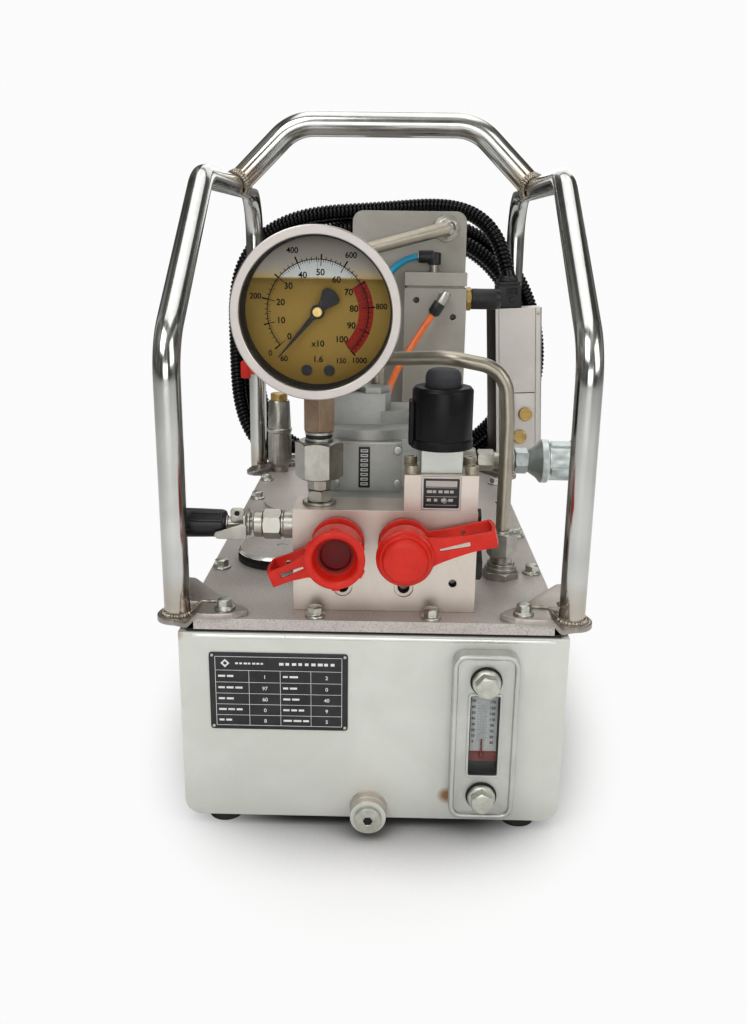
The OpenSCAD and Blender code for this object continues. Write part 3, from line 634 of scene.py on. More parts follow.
# darker sides of the room, seen only as bands in the polished metal
ab = wn.new("ShaderNodeMath")
ab.operation = "ABSOLUTE"
wl.new(sx.outputs["X"], ab.inputs[0])
rb = wn.new("ShaderNodeValToRGB")
eb = rb.color_ramp.elements
eb[0].position, eb[0].color = 0.0, (0.95, 0.95, 0.95, 1)
eb[1].position, eb[1].color = 1.0, (0.75, 0.75, 0.76, 1)
for pos, c in ((0.30, 1.0), (0.42, 0.30), (0.60, 0.22), (0.72, 1.0), (0.85, 1.0)):
    e = eb.new(pos)
    e.color = (c, c, c, 1)
wl.new(ab.outputs["Value"], rb.inputs["Fac"])
mul = wn.new("ShaderNodeMix")
mul.data_type = "RGBA"
mul.blend_type = "MULTIPLY"
mul.inputs["Factor"].default_value = 0.85
wl.new(rp.outputs["Color"], mul.inputs["A"])
wl.new(rb.outputs["Color"], mul.inputs["B"])
lp = wn.new("ShaderNodeLightPath")
mc = wn.new("ShaderNodeMix")
mc.data_type = "RGBA"
wl.new(lp.outputs["Is Camera Ray"], mc.inputs["Factor"])
dim = wn.new("ShaderNodeMix")
dim.data_type = "RGBA"
dim.blend_type = "MULTIPLY"
dim.inputs["Factor"].default_value = 1.0
dim.inputs["B"].default_value = (0.47, 0.46, 0.44, 1)
wl.new(mul.outputs["Result"], dim.inputs["A"])
mpw = wn.new("ShaderNodeMapping")
mpw.inputs["Scale"].default_value = (3.4, 3.4, 0.35)
wl.new(tc.outputs["Generated"], mpw.inputs["Vector"])
nzw = wn.new("ShaderNodeTexNoise")
nzw.inputs["Scale"].default_value = 1.7
nzw.inputs["Detail"].default_value = 3
wl.new(mpw.outputs["Vector"], nzw.inputs["Vector"])
mrw = wn.new("ShaderNodeMapRange")
mrw.inputs["From Min"].default_value = 0.40
mrw.inputs["From Max"].default_value = 0.60
mrw.inputs["To Min"].default_value = 0.25
mrw.inputs["To Max"].default_value = 1.45
wl.new(nzw.outputs["Fac"], mrw.inputs["Value"])
stw = wn.new("ShaderNodeMix")
stw.data_type = "RGBA"
stw.blend_type = "MULTIPLY"
stw.inputs["Factor"].default_value = 1.0
wl.new(dim.outputs["Result"], stw.inputs["A"])
wl.new(mrw.outputs["Result"], stw.inputs["B"])
wl.new(stw.outputs["Result"], mc.inputs["A"])
mc.inputs["B"].default_value = (0.81, 0.81, 0.81, 1)
wl.new(mc.outputs["Result"], bg.inputs["Color"])
bg.inputs["Strength"].default_value = 1.0
wl.new(bg.outputs["Background"], wo.inputs["Surface"])


def area(name, loc, target, size, power, col=(1, 1, 1), sy=None):
    d = bpy.data.lights.new(name, "AREA")
    d.shape = "RECTANGLE"
    d.size = size
    d.size_y = sy or size
    d.energy = power
    d.color = col
    o = bpy.data.objects.new(name, d)
    scene.collection.objects.link(o)
    o.location = loc
    v = Vector(target) - Vector(loc)
    o.rotation_euler = v.to_track_quat("-Z", "Y").to_euler()
    return o


area("key", (-0.9, -1.5, 1.9), (0, 0, 0.2), 1.3, 19)
area("fill", (1.5, -1.1, 1.2), (0, 0, 0.25), 1.2, 11.0)
area("top", (0.1, 0.3, 2.2), (0, 0, 0.1), 1.8, 12.5)
area("back", (0.3, 1.9, 1.3), (0, 0, 0.3), 1.6, 8)
area("front", (0.0, -2.4, 0.55), (0, 0, 0.2), 1.5, 8.5, sy=0.8)


def edge(node, mats, w=0.5, angle=32, seg=2):
    """Finish a CAD node that stays: rounded edges and its material, the mesh itself unchanged."""
    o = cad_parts[node]
    me = o.data
    me.materials.clear()
    me.materials.append(MAT[mats])
    if "custom_normal" in me.attributes:
        me.attributes.remove(me.attributes["custom_normal"])
    me.polygons.foreach_set("use_smooth", [True] * len(me.polygons))
    a = o.modifiers.new("weld", "WELD")
    a.merge_threshold = 5e-6
    if w:
        d = o.modifiers.new("flat", "DECIMATE")
        d.decimate_type = "DISSOLVE"
        d.angle_limit = rad(0.4)
        b = o.modifiers.new("edge", "BEVEL")
        b.width = w * S
        b.segments = seg
        b.limit_method = "ANGLE"
        b.angle_limit = rad(angle)
        b.harden_normals = True
    return o


finish = {
    "tank": ("tank_steel", 1.6), "tank_feet": ("foot_rubber", 0.6), "gaskets": ("seal_rubber", 0.3), "cover_plate": ("blasted_aluminium", 0.5),
    "flange_bolts": ("zinc_fastener", 0.3), "cage_hoop_left": ("polished_stainless", 0), "cage_hoop_right": ("polished_stainless", 0), "cage_handle_bar": ("polished_stainless", 0),
    "drain_plug": ("zinc_fastener", 0.5), "level_gauge_frame": ("satin_cast_aluminium", 1.5), "level_gauge_lens": ("clear_plastic", 0.2), "level_gauge_scale": ("scale_white", 0),
    "data_plates": ("plate_black", 0.1), "manifold_block": ("satin_aluminium", 0.6), "manifold_plugs": ("black_oxide", 0.5), "coupler_nipples": ("nickel_steel", 0.4),
    "coupler_collar_left": ("nickel_steel", 0.4), "coupler_collar_right": ("nickel_steel", 0.4), "dust_cap_left": ("red_plastic", 0.8), "dust_cap_right": ("red_plastic", 0.8),
    "cap_straps": ("red_plastic", 0.5), "gauge_case": ("brushed_stainless", 0.8), "gauge_bezel": ("brushed_stainless", 0.6), "gauge_window": ("gauge_glass", 0),
    "gauge_dial": ("scale_white", 0), "gauge_pointer": ("pointer_black", 0), "gauge_adaptor": ("nickel_steel", 0.5), "bourdon_tube": ("brass", 0.3),
    "valve_body": ("satin_aluminium", 0.6), "valve_core": ("satin_cast_aluminium", 0.5), "valve_coil": ("coil_black", 0.6), "override_boot": ("boot_rubber", 0.3),
    "valve_spool": ("nickel_steel", 0.2), "valve_screws": ("screw_steel", 0.4), "regulator_fitting": ("nickel_steel", 0.5), "lock_lever": ("nickel_steel", 0.3),
    "regulator_handle": ("handle_black", 0.8), "pump_block": ("cast_aluminium", 1.2), "air_motor": ("cast_aluminium", 1.0), "motor_rotor": ("nickel_steel", 0.3),
    "suction_strainer": ("brass", 0.5), "filler_cap": ("blasted_aluminium", 0.5), "breather_filter": ("nickel_steel", 0.6), "rear_plate": ("grey_painted_plate", 0.6),
    "air_valve_block": ("grey_painted_plate", 0.6), "push_fittings": ("fitting_black", 0.5), "blue_tube": ("tube_blue", 0), "orange_tube": ("tube_orange", 0),
    "silencer": ("fitting_black", 0.8), "air_pipe": ("champagne_nickel", 0), "return_pipe": ("champagne_nickel", 0), "return_fitting": ("nickel_steel", 0.5),
    "inlet_fittings": ("nickel_steel", 0.5), "inlet_coupling": ("galvanised", 0.8), "pendant_housing": ("pendant_aluminium", 1.0), "pendant_button_upper": ("brass", 0.5),
    "pendant_button_lower": ("brass", 0.5), "hose_glands": ("fitting_black", 0.8),
}
for node, (mt, w) in finish.items():
    edge(node, mt, w)

# ---------------------------------------------------------------- cage
hoop_line = fillet([(0, 22, -5), (0, 22, 180), (0, 168, 292), (0, 450, 292), (0, 450, -5)], 44, 22)
PAD = -4.6


def lug_top(x):
    w = min(1.0, max(0.0, (x - 118.5) / 10.5))
    w = w * w * (3 - 2 * w)
    return 4.2 + (PAD - 4.2) * w


def curve(x, pts):
    return float(np.interp(x, [q[0] for q in pts], [q[1] for q in pts]))


def strap():
    # the strap of a foot: a flat tip, a joggle and a round pad, drawn as rings along X
    lo = [(86, 6.2), (90, 3.2), (95, 0.6), (101, -0.7), (108, -1.2), (115, -1.3), (120, -0.9), (124, 0.6), (128, 3.2), (131, 5.2), (134, 6.8), (137, 8.0)]
    hi = [(86, 9.6), (93, 17.2), (99.5, 23.6), (104, 24.2), (110, 24.0), (118, 25.4), (124, 29.2), (128, 32.8), (131, 34.7), (134, 35.7), (137, 36.0)]
    xs = list(np.arange(86, 149.6, 0.75)) + [150.2, 150.7, 150.95]
    vs, fs = [], []
    m = 14
    for x in xs:
        if x > 137:
            h = math.sqrt(max(0.05, 14 ** 2 - (x - 137) ** 2))
            a, b = 22 - h, 22 + h
        else:
            a, b = curve(x, lo), curve(x, hi)
        e = min(0.8, (b - a) * 0.3)
        zt, zb_ = lug_top(x), lug_top(x) - 4.15
        if x > 149.6:
            zt -= (x - 149.6) * 0.5
        ring = [(x, a, zt - e), (x, a + 0.3 * e, zt - 0.3 * e)] + [(x, a + e + (b - a - 2 * e) * j / 7, zt) for j in range(8)] + [(x, b - 0.3 * e, zt - 0.3 * e), (x, b, zt - e), (x, b, zb_), (x, a, zb_)]
        vs += ring
    n = len(xs)
    for i in range(n - 1):
        for j in range(m):
            fs.append((i * m + j, i * m + (j + 1) % m, (i + 1) * m + (j + 1) % m, (i + 1) * m + j))
    fs.append(tuple(range(m - 1, -1, -1)))
    fs.append(tuple((n - 1) * m + j for j in range(m)))
    return vs, fs


def mirror(gen, s, back):
    vs, fs = gen
    return [(s * x, 472 - y if back else y, z) for x, y, z in vs], fs


for s, nm in ((-1, "left"), (1, "right")):
    p = Part()
    line, _, _ = resample(hoop_line, 3.0)
    line = line + np.array([s * 137, 0, 0])
    p.add(tube(line, 9.0, n=48, up=(1, 0, 0)), 0)
    for back in (0, 1):
        ly, by, cy2 = (450, 459, 440) if back else (22, 13, 68)
        my = -1 if back else 1
        leg = (s * 137, ly)
        # foot for the front right corner, then mirrored into place
        p.add(mirror(strap(), s, back), 1)
        tri = [(101, 22.4), (131.0, 65.8), (133.6, 68.6), (137.6, 69.4), (141, 67.4), (142.4, 63.6), (142.4, 42), (136, 37), (127.6, 31), (127.6, 20.8), (109, 20.8)]
        p.add(mirror(flat([tri], 0.05, 4.35, 0.6, 2), s, back), 1)
        p.add(mirror(flat([[(119, 20.9), (127.5, 20.9), (127.5, 25), (119, 25)]], -7.5, 3.6, 0.3, 1), s, back), 1)
        bead = []
        for j in range(41):
            x = 107.5 + 20.5 * j / 40
            bead.append((s * x, (472 - 20.6) if back else 20.6, lug_top(x) + 0.55 + 0.15 * math.sin(j * 1.9)))
        p.add(tube(np.array(bead), [0.5 + 0.75 * math.sin(PI * j / 40) ** 0.5 + 0.14 * math.sin(j * 2.4) for j in range(41)], n=10, up=(0, 1, 0)), 2)
        # weld bead round the foot of the leg
        ring = []
        for j in range(97):
            a = 2 * PI * j / 96
            ring.append((leg[0] + 9.9 * math.cos(a), leg[1] + 9.9 * math.sin(a), PAD + 0.5))
        rr = [1.7 + 0.28 * math.sin(j * 2.3) + 0.12 * math.sin(j * 5.1) for j in range(97)]
        rr[-1] = rr[0]
        p.add(tube(np.array(ring), rr, n=10, cap=False, up=(0, 0, 1)), 2)
    p.make("cage_tube_" + nm, ["polished_stainless", "lug_steel", "weld_bead"], angle=40, replaces=("cage_hoop_" + nm,))

p = Part()
bar = fillet([(-137, 330, 292), (-82, 330, 346), (82, 330, 346), (137, 330, 292)], 44, 22)
bar, _, blen = resample(bar, 2.5)
keep = [q for q in bar if min(np.linalg.norm(q - np.array([-137, 330, 292])), np.linalg.norm(q - np.array([137, 330, 292]))) > 3.5]
p.add(tube(np.array(keep), 11.0, n=56, up=(0, 1, 0)), 0)
for s in (-1, 1):
    d = np.array([-s * 55.0, 0, 54.0])
    d /= np.linalg.norm(d)
    n1 = np.array([s * 54.0, 0, 55.0])
    n1 /= np.linalg.norm(n1)
    for lay, (off, rb_) in enumerate(((0.0, 2.3), (2.6, 1.5))):
        ring = []
        for j in range(97):
            a = 2 * PI * j / 96
            c_, s_ = math.cos(a), math.sin(a)
            hgt = math.sqrt(max(0.0, 9.6 ** 2 - (9.6 * c_) ** 2)) * 0.9 + 2.2 + off
            ring.append(np.array([s * 137, 330, 292]) + d * hgt + n1 * 10.9 * c_ + np.array([0, 1, 0]) * 10.9 * s_)
        rr = [rb_ + 0.3 * math.sin(j * 2.1 + lay) for j in range(97)]
        rr[-1] = rr[0]
        p.add(tube(np.array(ring), rr, n=10, cap=False, up=tuple(d)), 1)
p.make("carrying_bar", ["polished_stainless", "weld_bead"], angle=40, replaces=("cage_handle_bar",))

# ---------------------------------------------------------------- fasteners
p = Part()


def flange_bolt(M, af=9.2, h=6.9, fl=7.0, turn=0):
    p.add(lathe([(0, 0), (fl, 0), (fl + 0.05, 0.7), (fl - 0.3, 1.5), (fl - 1.6, 2.1), (af / 2 + 0.6, 2.7), (0, 2.7)], 48), 0, M)
    p.add(hexhead(h - 2.4, af, 2.4, dome=0.7), 0, M @ Rz(turn))


for i, (x, y) in enumerate([(-40, 9), (39, 9), (-40, 463), (40, 463), (-120, 104), (-120, 200), (-120, 310), (-120, 384), (120, 104), (120, 200), (120, 310), (120, 384)]):
    flange_bolt(T(x, y, 0), turn=(i * 37) % 60)
for i, (x, y) in enumerate([(-101.5, 9), (101.5, 9), (-101.5, 463), (101.5, 463)]):
    flange_bolt(T(x, y, 4.2), turn=20 + i * 17)
for z in (-37.5, -124.5):
    M = T(76.5, -12.05, z) @ RY @ Rx(180)
    p.add(lathe([(0, 0), (9.7, 0), (9.75, 1.0), (9.2, 2.2), (7.9, 2.9), (0, 2.9)], 48), 0, M)
    p.add(hexhead(7.2, 14.4, 2.6, dome=0.25), 0, M @ Rz(18 if z > -60 else 4))
p.make("cover_bolts", ["zinc_fastener"], bevel=0.15, angle=30, replaces=("flange_bolts",))

# ---------------------------------------------------------------- pressure gauge
GX, GZ = -39.0, 202.0
G = T(GX, 0, GZ) @ RY
p = Part()
p.add(ringed([(47.9, 9.2), (48.05, 8.55), (48.5, 8.2), (53.2, 8.0), (53.75, 8.25), (54.0, 8.8), (54.0, 11.6), (53.5, 12.7), (53.15, 13.2), (53.2, 20.8), (52.6, 21.8), (50.2, 21.8), (50.1, 14.2), (48.2, 14.2), (47.9, 13.6)], 160), 0, G)
p.make("gauge_bezel_ring", ["brushed_stainless"], angle=16, replaces=("gauge_bezel",))
p = Part()
p.add(ringed([(48.0, 20.2), (50.0, 20.2), (50.0, 46.5), (49.2, 48.8), (47.2, 50.0), (46.0, 50.2), (45.8, 53.2), (44.6, 54.0), (0.01, 54.0), (0.01, 49.0), (47.0, 46.0), (48.0, 44.0)], 128), 0, G)
p.add(lathe([(7.0, -52), (7.0, -41)], 40), 0, T(GX, 38, GZ))
for j in range(6):
    a = 60 * j + 12
    p.add(hexhead(1.6, 5, 0), 0, G @ T(40 * math.cos(rad(a)), 40 * math.sin(rad(a)), 54))
p.make("gauge_case_shell", ["brushed_stainless"], angle=28, replaces=("gauge_case",), fix=False)
# inner wall in black rubber: painted shade in the gap between bezel and dial
p = Part()
p.add(lathe([(47.85, 13.2), (47.0, 13.3), (46.9, 29.9)], 128), 0, G)
p.make("gauge_inner_wall_painted_shade", ["seal_rubber"], fix=False)


def fill_line_material():
    """Dial seen through the fill: clear above the line, amber below it; a painted highlight at the line and painted
    shade darkening the dial towards its top rim.
    """
    material("dial_face", (0.30, 0.205, 0.05), (0.36, 0.255, 0.07), rough=0.5, big=26, grain=700, gs=0.08, spec=0.2)
    m = MAT["dial_face"]
    nt = m.node_tree
    N, L = nt.nodes, nt.links
    b = N["Principled BSDF"]
    old = b.inputs["Base Color"].links[0].from_socket
    tc = N.new("ShaderNodeTexCoord")
    sp = N.new("ShaderNodeSeparateXYZ")
    L.new(tc.outputs["Object"], sp.inputs["Vector"])
    mr = N.new("ShaderNodeMapRange")
    z0 = (GZ - 50 + OZ) * S
    z1 = (GZ + 50 + OZ) * S
    mr.inputs["From Min"].default_value = z0
    mr.inputs["From Max"].default_value = z1
    L.new(sp.outputs["Z"], mr.inputs["Value"])
    cr = N.new("ShaderNodeValToRGB")
    el = cr.color_ramp.elements
    el[0].position, el[0].color = 0.0, (0.20, 0.125, 0.03, 1)
    el[1].position, el[1].color = 1.0, (0.14, 0.135, 0.13, 1)
    # colour by height: amber below the fill line, darker towards the bottom rim; the dark line and bright cream band at
    # the fill line are a painted highlight of the meniscus; above it, the grey that darkens towards the top rim is
    # painted shade from the bezel
    for pos, c in ((0.22, (0.31, 0.205, 0.05)), (0.52, (0.35, 0.24, 0.07)), (0.66, (0.29, 0.195, 0.052)), (0.703, (0.20, 0.13, 0.035)), (0.712, (0.62, 0.47, 0.22)), (0.742, (0.56, 0.50, 0.38)), (0.80, (0.47, 0.455, 0.43)), (0.90, (0.36, 0.345, 0.33))):
        e = el.new(pos)
        e.color = (*c, 1)
    L.new(mr.outputs["Result"], cr.inputs["Fac"])
    mx = N.new("ShaderNodeMix")
    mx.data_type = "RGBA"
    mx.inputs["Factor"].default_value = 0.86
    L.new(old, mx.inputs["A"])
    L.new(cr.outputs["Color"], mx.inputs["B"])
    L.new(mx.outputs["Result"], b.inputs["Base Color"])


fill_line_material()
p = Part()
p.add(lathe([(2.1, 30), (46.9, 30), (46.9, 31.2), (2.1, 31.2)], 128), 0, G)
for x in (-7.3, 7.3):
    p.add(lathe([(0, 29.0), (3.0, 29.0), (3.4, 29.3), (3.45, 30.0)], 32), 1, T(GX + x, 0, GZ - 37.6) @ RY)
p.make("dial_plate", ["dial_face", "boot_rubber"], angle=30, replaces=("gauge_dial",), fix=False)


def dial(a):
    """Unit vector on the dial for an angle clockwise from straight up."""
    return math.sin(rad(a)), math.cos(rad(a))


marks = Part()
reds = Part()


def sector(part, r0, r1, a0, a1, y, m=0, n=None):
    n = n or max(2, int(abs(a1 - a0) / 2))
    vs, fs = [], []
    for i in range(n + 1):
        sx_, cz_ = dial(a0 + (a1 - a0) * i / n)
        vs += [(r0 * sx_, y, r0 * cz_), (r1 * sx_, y, r1 * cz_)]
    for i in range(n):
        fs.append((2 * i, 2 * i + 2, 2 * i + 3, 2 * i + 1))
    part.add((vs, fs), m, T(GX, 0, GZ))


A0, A1 = -131.0, 139.0
sector(marks, 32.5, 33.05, A0, A1, 29.93, n=180)
for i in range(101):
    a = A0 + (A1 - A0) * i / 100
    w = 0.5 if i % 10 == 0 else 0.3
    lo = 28.6 if i % 10 == 0 else (30.2 if i % 5 == 0 else 31.0)
    sector(marks, lo, 32.7, a - w, a + w, 29.93, n=1)
for i in range(0, 51):
    a = A0 + (A1 - A0) * i / 50
    w = 0.75 if i % 5 == 0 else 0.4
    hi = 37.0 if i % 10 == 0 else (36.0 if i % 5 == 0 else 34.4)
    sector(marks, 32.8, hi, a - w, a + w, 29.93, n=1)
sector(marks, 17.0, 32.7, -0.14, 0.14, 29.93, n=1)
sector(reds, 26.4, 36.0, 56, 139, 29.95, n=60)
white = Part()
ca = [(math.degrees(math.acos(min(1, 21.5 / r_))), r_) for r_ in np.linspace(21.52, 32.6, 24)]
vs, fs = [], []
for a_, r_ in ca:
    for k in range(25):
        t_ = -a_ + 2 * a_ * k / 24
        vs.append((r_ * dial(t_)[0], 29.96, r_ * dial(t_)[1]))
for i in range(len(ca) - 1):
    for k in range(24):
        q = i * 25 + k
        fs.append((q, q + 1, q + 26, q + 25))
white.add((vs, fs), 0, T(GX, 0, GZ))
white.make("dial_light_arc", ["scale_white"], angle=30, fix=False)
marks.make("dial_marks", ["mark_black"], angle=30, fix=False)
reds.make("dial_red_zone", ["mark_red"], angle=30, fix=False)


def number(txt, x, y, z, size, name, mat, rot=0.0, thick=0.03, body="root"):
    cu = bpy.data.curves.new(name, "FONT")
    cu.body = txt
    cu.size = size * S
    cu.align_x = "CENTER"
    cu.align_y = "CENTER"
    cu.extrude = thick * S
    cu.offset = 0.017 * size * S
    ob = bpy.data.objects.new(name, cu)
    scene.collection.objects.link(ob)
    dg = bpy.context.evaluated_depsgraph_get()
    me = bpy.data.meshes.new_from_object(ob.evaluated_get(dg))
    me.transform(Matrix.Translation(W(x, y, z)) @ Ry(rot) @ Matrix.Rotation(rad(90), 4, "X"))
    bpy.data.objects.remove(ob)
    return me


def numbers(name, items, mat, body="root"):
    bm = bmesh.new()
    for it in items:
        me = number(*it[:5], name + "_t", mat, *it[5:])
        bm.from_mesh(me)
        bpy.data.meshes.remove(me)
    me = bpy.data.meshes.new(name)
    bm.to_mesh(me)
    bm.free()
    me.materials.append(MAT[mat])
    ob = bpy.data.objects.new(name, me)
    scene.collection.objects.link(ob)
    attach(ob, body)
    return ob


items = []
for i, v in enumerate(range(0, 101, 10)):
    sx_, cz_ = dial(A0 + (A1 - A0) * i / 10)
    r = 24.6 if i < 6 else 23.4
    items.append((str(v), GX + r * sx_, 29.9, GZ + r * cz_, 5.6))
for i, v in enumerate((0, 200, 400, 600, 800, 1000)):
    a = A0 + (A1 - A0) * i / 5
    sx_, cz_ = dial(a)
    r = 41.2
    items.append((str(v), GX + r * sx_, 29.9, GZ + r * cz_, 5.0))
items.append(("1.6", GX, 29.9, GZ - 30.6, 5.6))
items.append(("x10", GX, 29.9, GZ - 20.6, 5.6))
items.append(("60", GX - 22.2, 29.9, GZ - 30.5, 5.0))
items.append(("150", GX + 15.0, 29.9, GZ - 31.5, 4.6))
numbers("dial_numbers", items, "mark_black")

# pointer with its counterweight and hub
p = Part()
PR = T(GX, 0, GZ) @ Ry(-49)
needle = [(-39.5, 0.0), (-38.5, -0.4), (-33, -0.55), (-14, -1.35), (-5.0, -1.7), (-4.0, -2.6), (4.0, -2.6), (13.0, -6.4), (15.2, -5.6), (16.6, -3.0), (17.1, 0.0), (16.6, 3.0), (15.2, 5.6), (13.0, 6.4), (4.0, 2.6), (-4.0, 2.6), (-5.0, 1.7), (-14, 1.35), (-33, 0.55), (-38.5, 0.4)]
p.add(flat([needle], -0.5, 0.5, 0.15, 1), 0, PR @ T(0, 26.9, 0) @ RY)
p.add(lathe([(0, 26.2), (4.3, 26.2), (4.5, 26.5), (4.5, 28.0), (1.9, 28.2), (1.9, 38)], 40), 0, T(GX, 0, GZ) @ RY)
p.add(lathe([(0, 25.4), (0.9, 25.4), (1.0, 25.0), (2.9, 25.0), (3.2, 25.3), (3.2, 26.3)], 40), 1, T(GX, 0, GZ) @ RY)
p.add(box(-1.1, 25.9, -0.3, 1.1, 25.95, 0.3), 0, PR @ T(-20, 0.2, 0))
p.make("gauge_needle", ["pointer_black", "hub_gold"], body="pointer", angle=30, replaces=("gauge_pointer",))

# ---------------------------------------------------------------- couplers and caps
CXL, CXR, CZC = -25.0, 20.0, 50.0
for nm, x, f in (("left", CXL, -4.0), ("right", CXR, -12.0)):
    M = T(x, 0, CZC) @ RY
    pr = [(8.7, f)]
    z = f
    pr.append((14.0, f))
    zz = f + 0.6
    while zz < 5.0:
        pr += [(14.9, zz), (14.9, zz + 0.7), (14.1, zz + 1.1), (14.1, zz + 1.4)]
        zz += 2.0
    pr += [(15.2, 5.4), (15.3, 5.8), (15.3, 7.0), (14.5, 7.4), (14.5, 9.2), (15.3, 9.6), (15.3, 11.0), (15.0, 11.4), (14.5, 11.6), (14.5, 13.4), (8.7, 13.4)]
    p = Part()
    p.add(ringed(pr, 96), 0, M)
    for j in range(36):
        a = 10.0 * j
        p.add(box(15.0, -0.45, 5.7, 15.5, 0.45, 7.0), 0, M @ Rz(a))
    p.make("coupler_sleeve_" + nm, ["nickel_steel"], body="collar_" + nm, angle=30, replaces=("coupler_collar_" + nm,), fix=False)

# open cap on the left
ML = T(CXL, 0, CZC) @ RY
p = Part()
outer = [(13.2, 3.4), (17.2, 3.4), (17.8, 2.8), (18.0, 1.2), (18.0, -17.5), (18.5, -18.3), (19.3, -18.8), (19.5, -19.6), (19.4, -21.2), (18.9, -21.8), (18.0, -22.0), (16.2, -21.9), (15.0, -21.2)]
inner = [(14.3, -20.0), (13.5, -17.0), (12.6, -13.5), (12.0, -12.6)]
deep = [(10.6, -12.2), (10.0, -11.6), (9.9, -7.6), (9.4, -7.05), (0, -7.05)]
p.add(lathe(outer + inner, 128), 0, ML)
# inner floor of the open cap in darker red: painted shade in the recess
p.add(lathe([inner[-1]] + deep, 96), 1, ML)
p.add(lathe([(13.2, 3.4), (14.9, 3.2), (14.95, -4.3), (0, -4.4)], 64), 0, ML)
for a in (28, 88, 152, 208, 268, 332):
    tab = [(-3.4, 0), (-2.4, 2.1), (2.4, 2.1), (3.4, 0), (2.8, -1.5), (-2.8, -1.5)]
    p.add(prism(tab, -21.6, -16.8), 0, ML @ Rz(a) @ T(18.3, 0, 0) @ Rz(-90))
p.make("cap_open", ["red_plastic", "red_plastic_painted_shade"], body="cap_left", bevel=0.45, angle=42, replaces=("dust_cap_left",), fix=False)

# closed cap on the right
MR = T(CXR, 0, CZC) @ RY
p = Part()
p.add(lathe([(15.0, 3.4), (17.1, 3.4), (17.6, 2.9), (17.7, 1.5), (17.7, -11.2), (18.4, -11.9), (18.9, -12.6), (18.9, -14.2), (18.4, -15.0), (17.4, -15.6), (17.2, -17.4), (16.6, -18.7), (15.3, -19.3), (14.9, -19.2), (14.75, -19.4), (14.6, -20.6), (13.9, -21.7), (12.6, -22.3), (8, -22.75), (0, -22.9)], 128), 0, MR)
p.add(lathe([(15.0, 3.4), (14.95, -12.3), (0, -12.4)], 64), 0, MR)
p.make("cap_closed", ["red_plastic"], body="cap_right", angle=28, replaces=("dust_cap_right",), fix=False)


def strap(name, cx, tilt, L, body, w_in, w_tip, slot_a, slot_b, hole_x):
    """Moulded tether: ring round the coupler root, arm, folded tip and the arm back to the cap."""
    M = T(cx, 0, CZC) @ Ry(tilt)
    p = Part()
    # arm that grows from the cap's rim, with its long slot
    def half(x):
        f = (x - 16) / (L - 16)
        f = min(1, max(0, f))
        wide = w_in + (w_tip - w_in) * min(1, f * 1.6) ** 0.6
        return wide
    top = [(x, half(x)) for x in np.linspace(14.0, L - 0.6, 16)]
    out = [(x, -h) for x, h in top] + [(L, -w_tip + 0.6), (L, w_tip - 0.6)] + [(x, h) for x, h in reversed(top)]
    slot_ = [(slot_a, -0.9), (slot_b - 0.5, -1.7), (slot_b, -1.2), (slot_b, 1.2), (slot_b - 0.5, 1.7), (slot_a, 0.9)]
    A = M @ T(0, -11.0, 0) @ Rx(90) 
    p.add(flat([out, slot_], -1.3, 1.3, 0.5, 2), 0, A)
    # ring and arm at the root
    arm = []
    r = 18.0
    a1 = math.degrees(math.asin(6.0 / r))
    arm = circle(r, 60, 0, 0, a1, 360 - a1) + [(24, -5.4), (30, -5.0), (L - 1, -w_tip), (L - 1, w_tip), (30, 5.0), (24, 5.4)]
    hole = circle(12.2, 48)
    small = circle(1.5, 16, hole_x, 0.4)
    p.add(flat([arm, hole, small], -1.2, 1.2, 0.45, 2), 0, M @ T(0, 15.4, 0) @ Rx(90))
    # folded tip
    tip = []
    n = 24
    pts = []
    for i in range(n + 1):
        f = i / n
        y = -11.6 + 27.4 * f
        bulge = 1.6 * math.sin(PI * f)
        pts.append((L - 1.4 + bulge, y))
    outer_ = [(x + 1.2, y) for x, y in pts]
    inner_ = [(x - 1.2, y) for x, y in reversed(pts)]
    poly = outer_ + inner_
    nn = len(pts)
    vs = []
    for z in (-w_tip + 0.3, w_tip - 0.3):
        vs += [(x, y, z) for x, y in poly]
    k = len(poly)
    fs = []
    for j in range(nn - 1):
        fs.append((j, j + 1, 2 * nn - 2 - j, 2 * nn - 1 - j))
        fs.append((k + 2 * nn - 1 - j, k + 2 * nn - 2 - j, k + j + 1, k + j))
    for j in range(k):
        fs.append((j, (j + 1) % k, k + (j + 1) % k, k + j))
    p.add((vs, fs), 0, M)
    ob = p.make(name, ["red_plastic"], angle=40, ride=False)
    return ob


sl = strap("tether_left", CXL, 180 - 22, 46, "cap_left", 9.0, 5.4, 22.5, 38.5, 36)
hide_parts("cap_straps")
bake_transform(sl)
sr = strap("tether_right", CXR, -13, 60, "cap_right", 10.5, 5.4, 23.0, 43.0, 40)
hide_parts("cap_straps")
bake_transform(sr)


# ---------------------------------------------------------------- level gauge
F = Rx(90)                                  # plate outline into the XZ plane, thickness towards the front
LG = T(76.5, 0, -80) @ F
p = Part()
p.add(flat([rrect(45, 124, 9, 10), rrect(38, 117, 6, 10)], 0.05, 12, 1.3, 3), 0, LG)
p.add(flat([rrect(38.3, 117.3, 6.1, 10), rrect(20, 60, 1.5, 4, 0, 2), circle(10.6, 40, 0, 42.5), circle(10.6, 40, 0, -44.5)], 0.05, 10.4, 0.35, 2), 0, LG)
p.add(flat([rrect(23.4, 63.4, 2.6, 6, 0, 2), rrect(20, 60, 1.4, 6, 0, 2)], 10.2, 11.3, 0.35, 2), 0, LG)
p.make("level_gauge_body", ["satin_cast_aluminium"], angle=34, replaces=("level_gauge_frame",))
p = Part()
p.add(flat([rrect(20.2, 60.2, 1.5, 4, 0, 2), rrect(18.8, 58.8, 1.0, 4, 0, 2)], 3.8, 10.3, 0.1, 1), 0, LG)
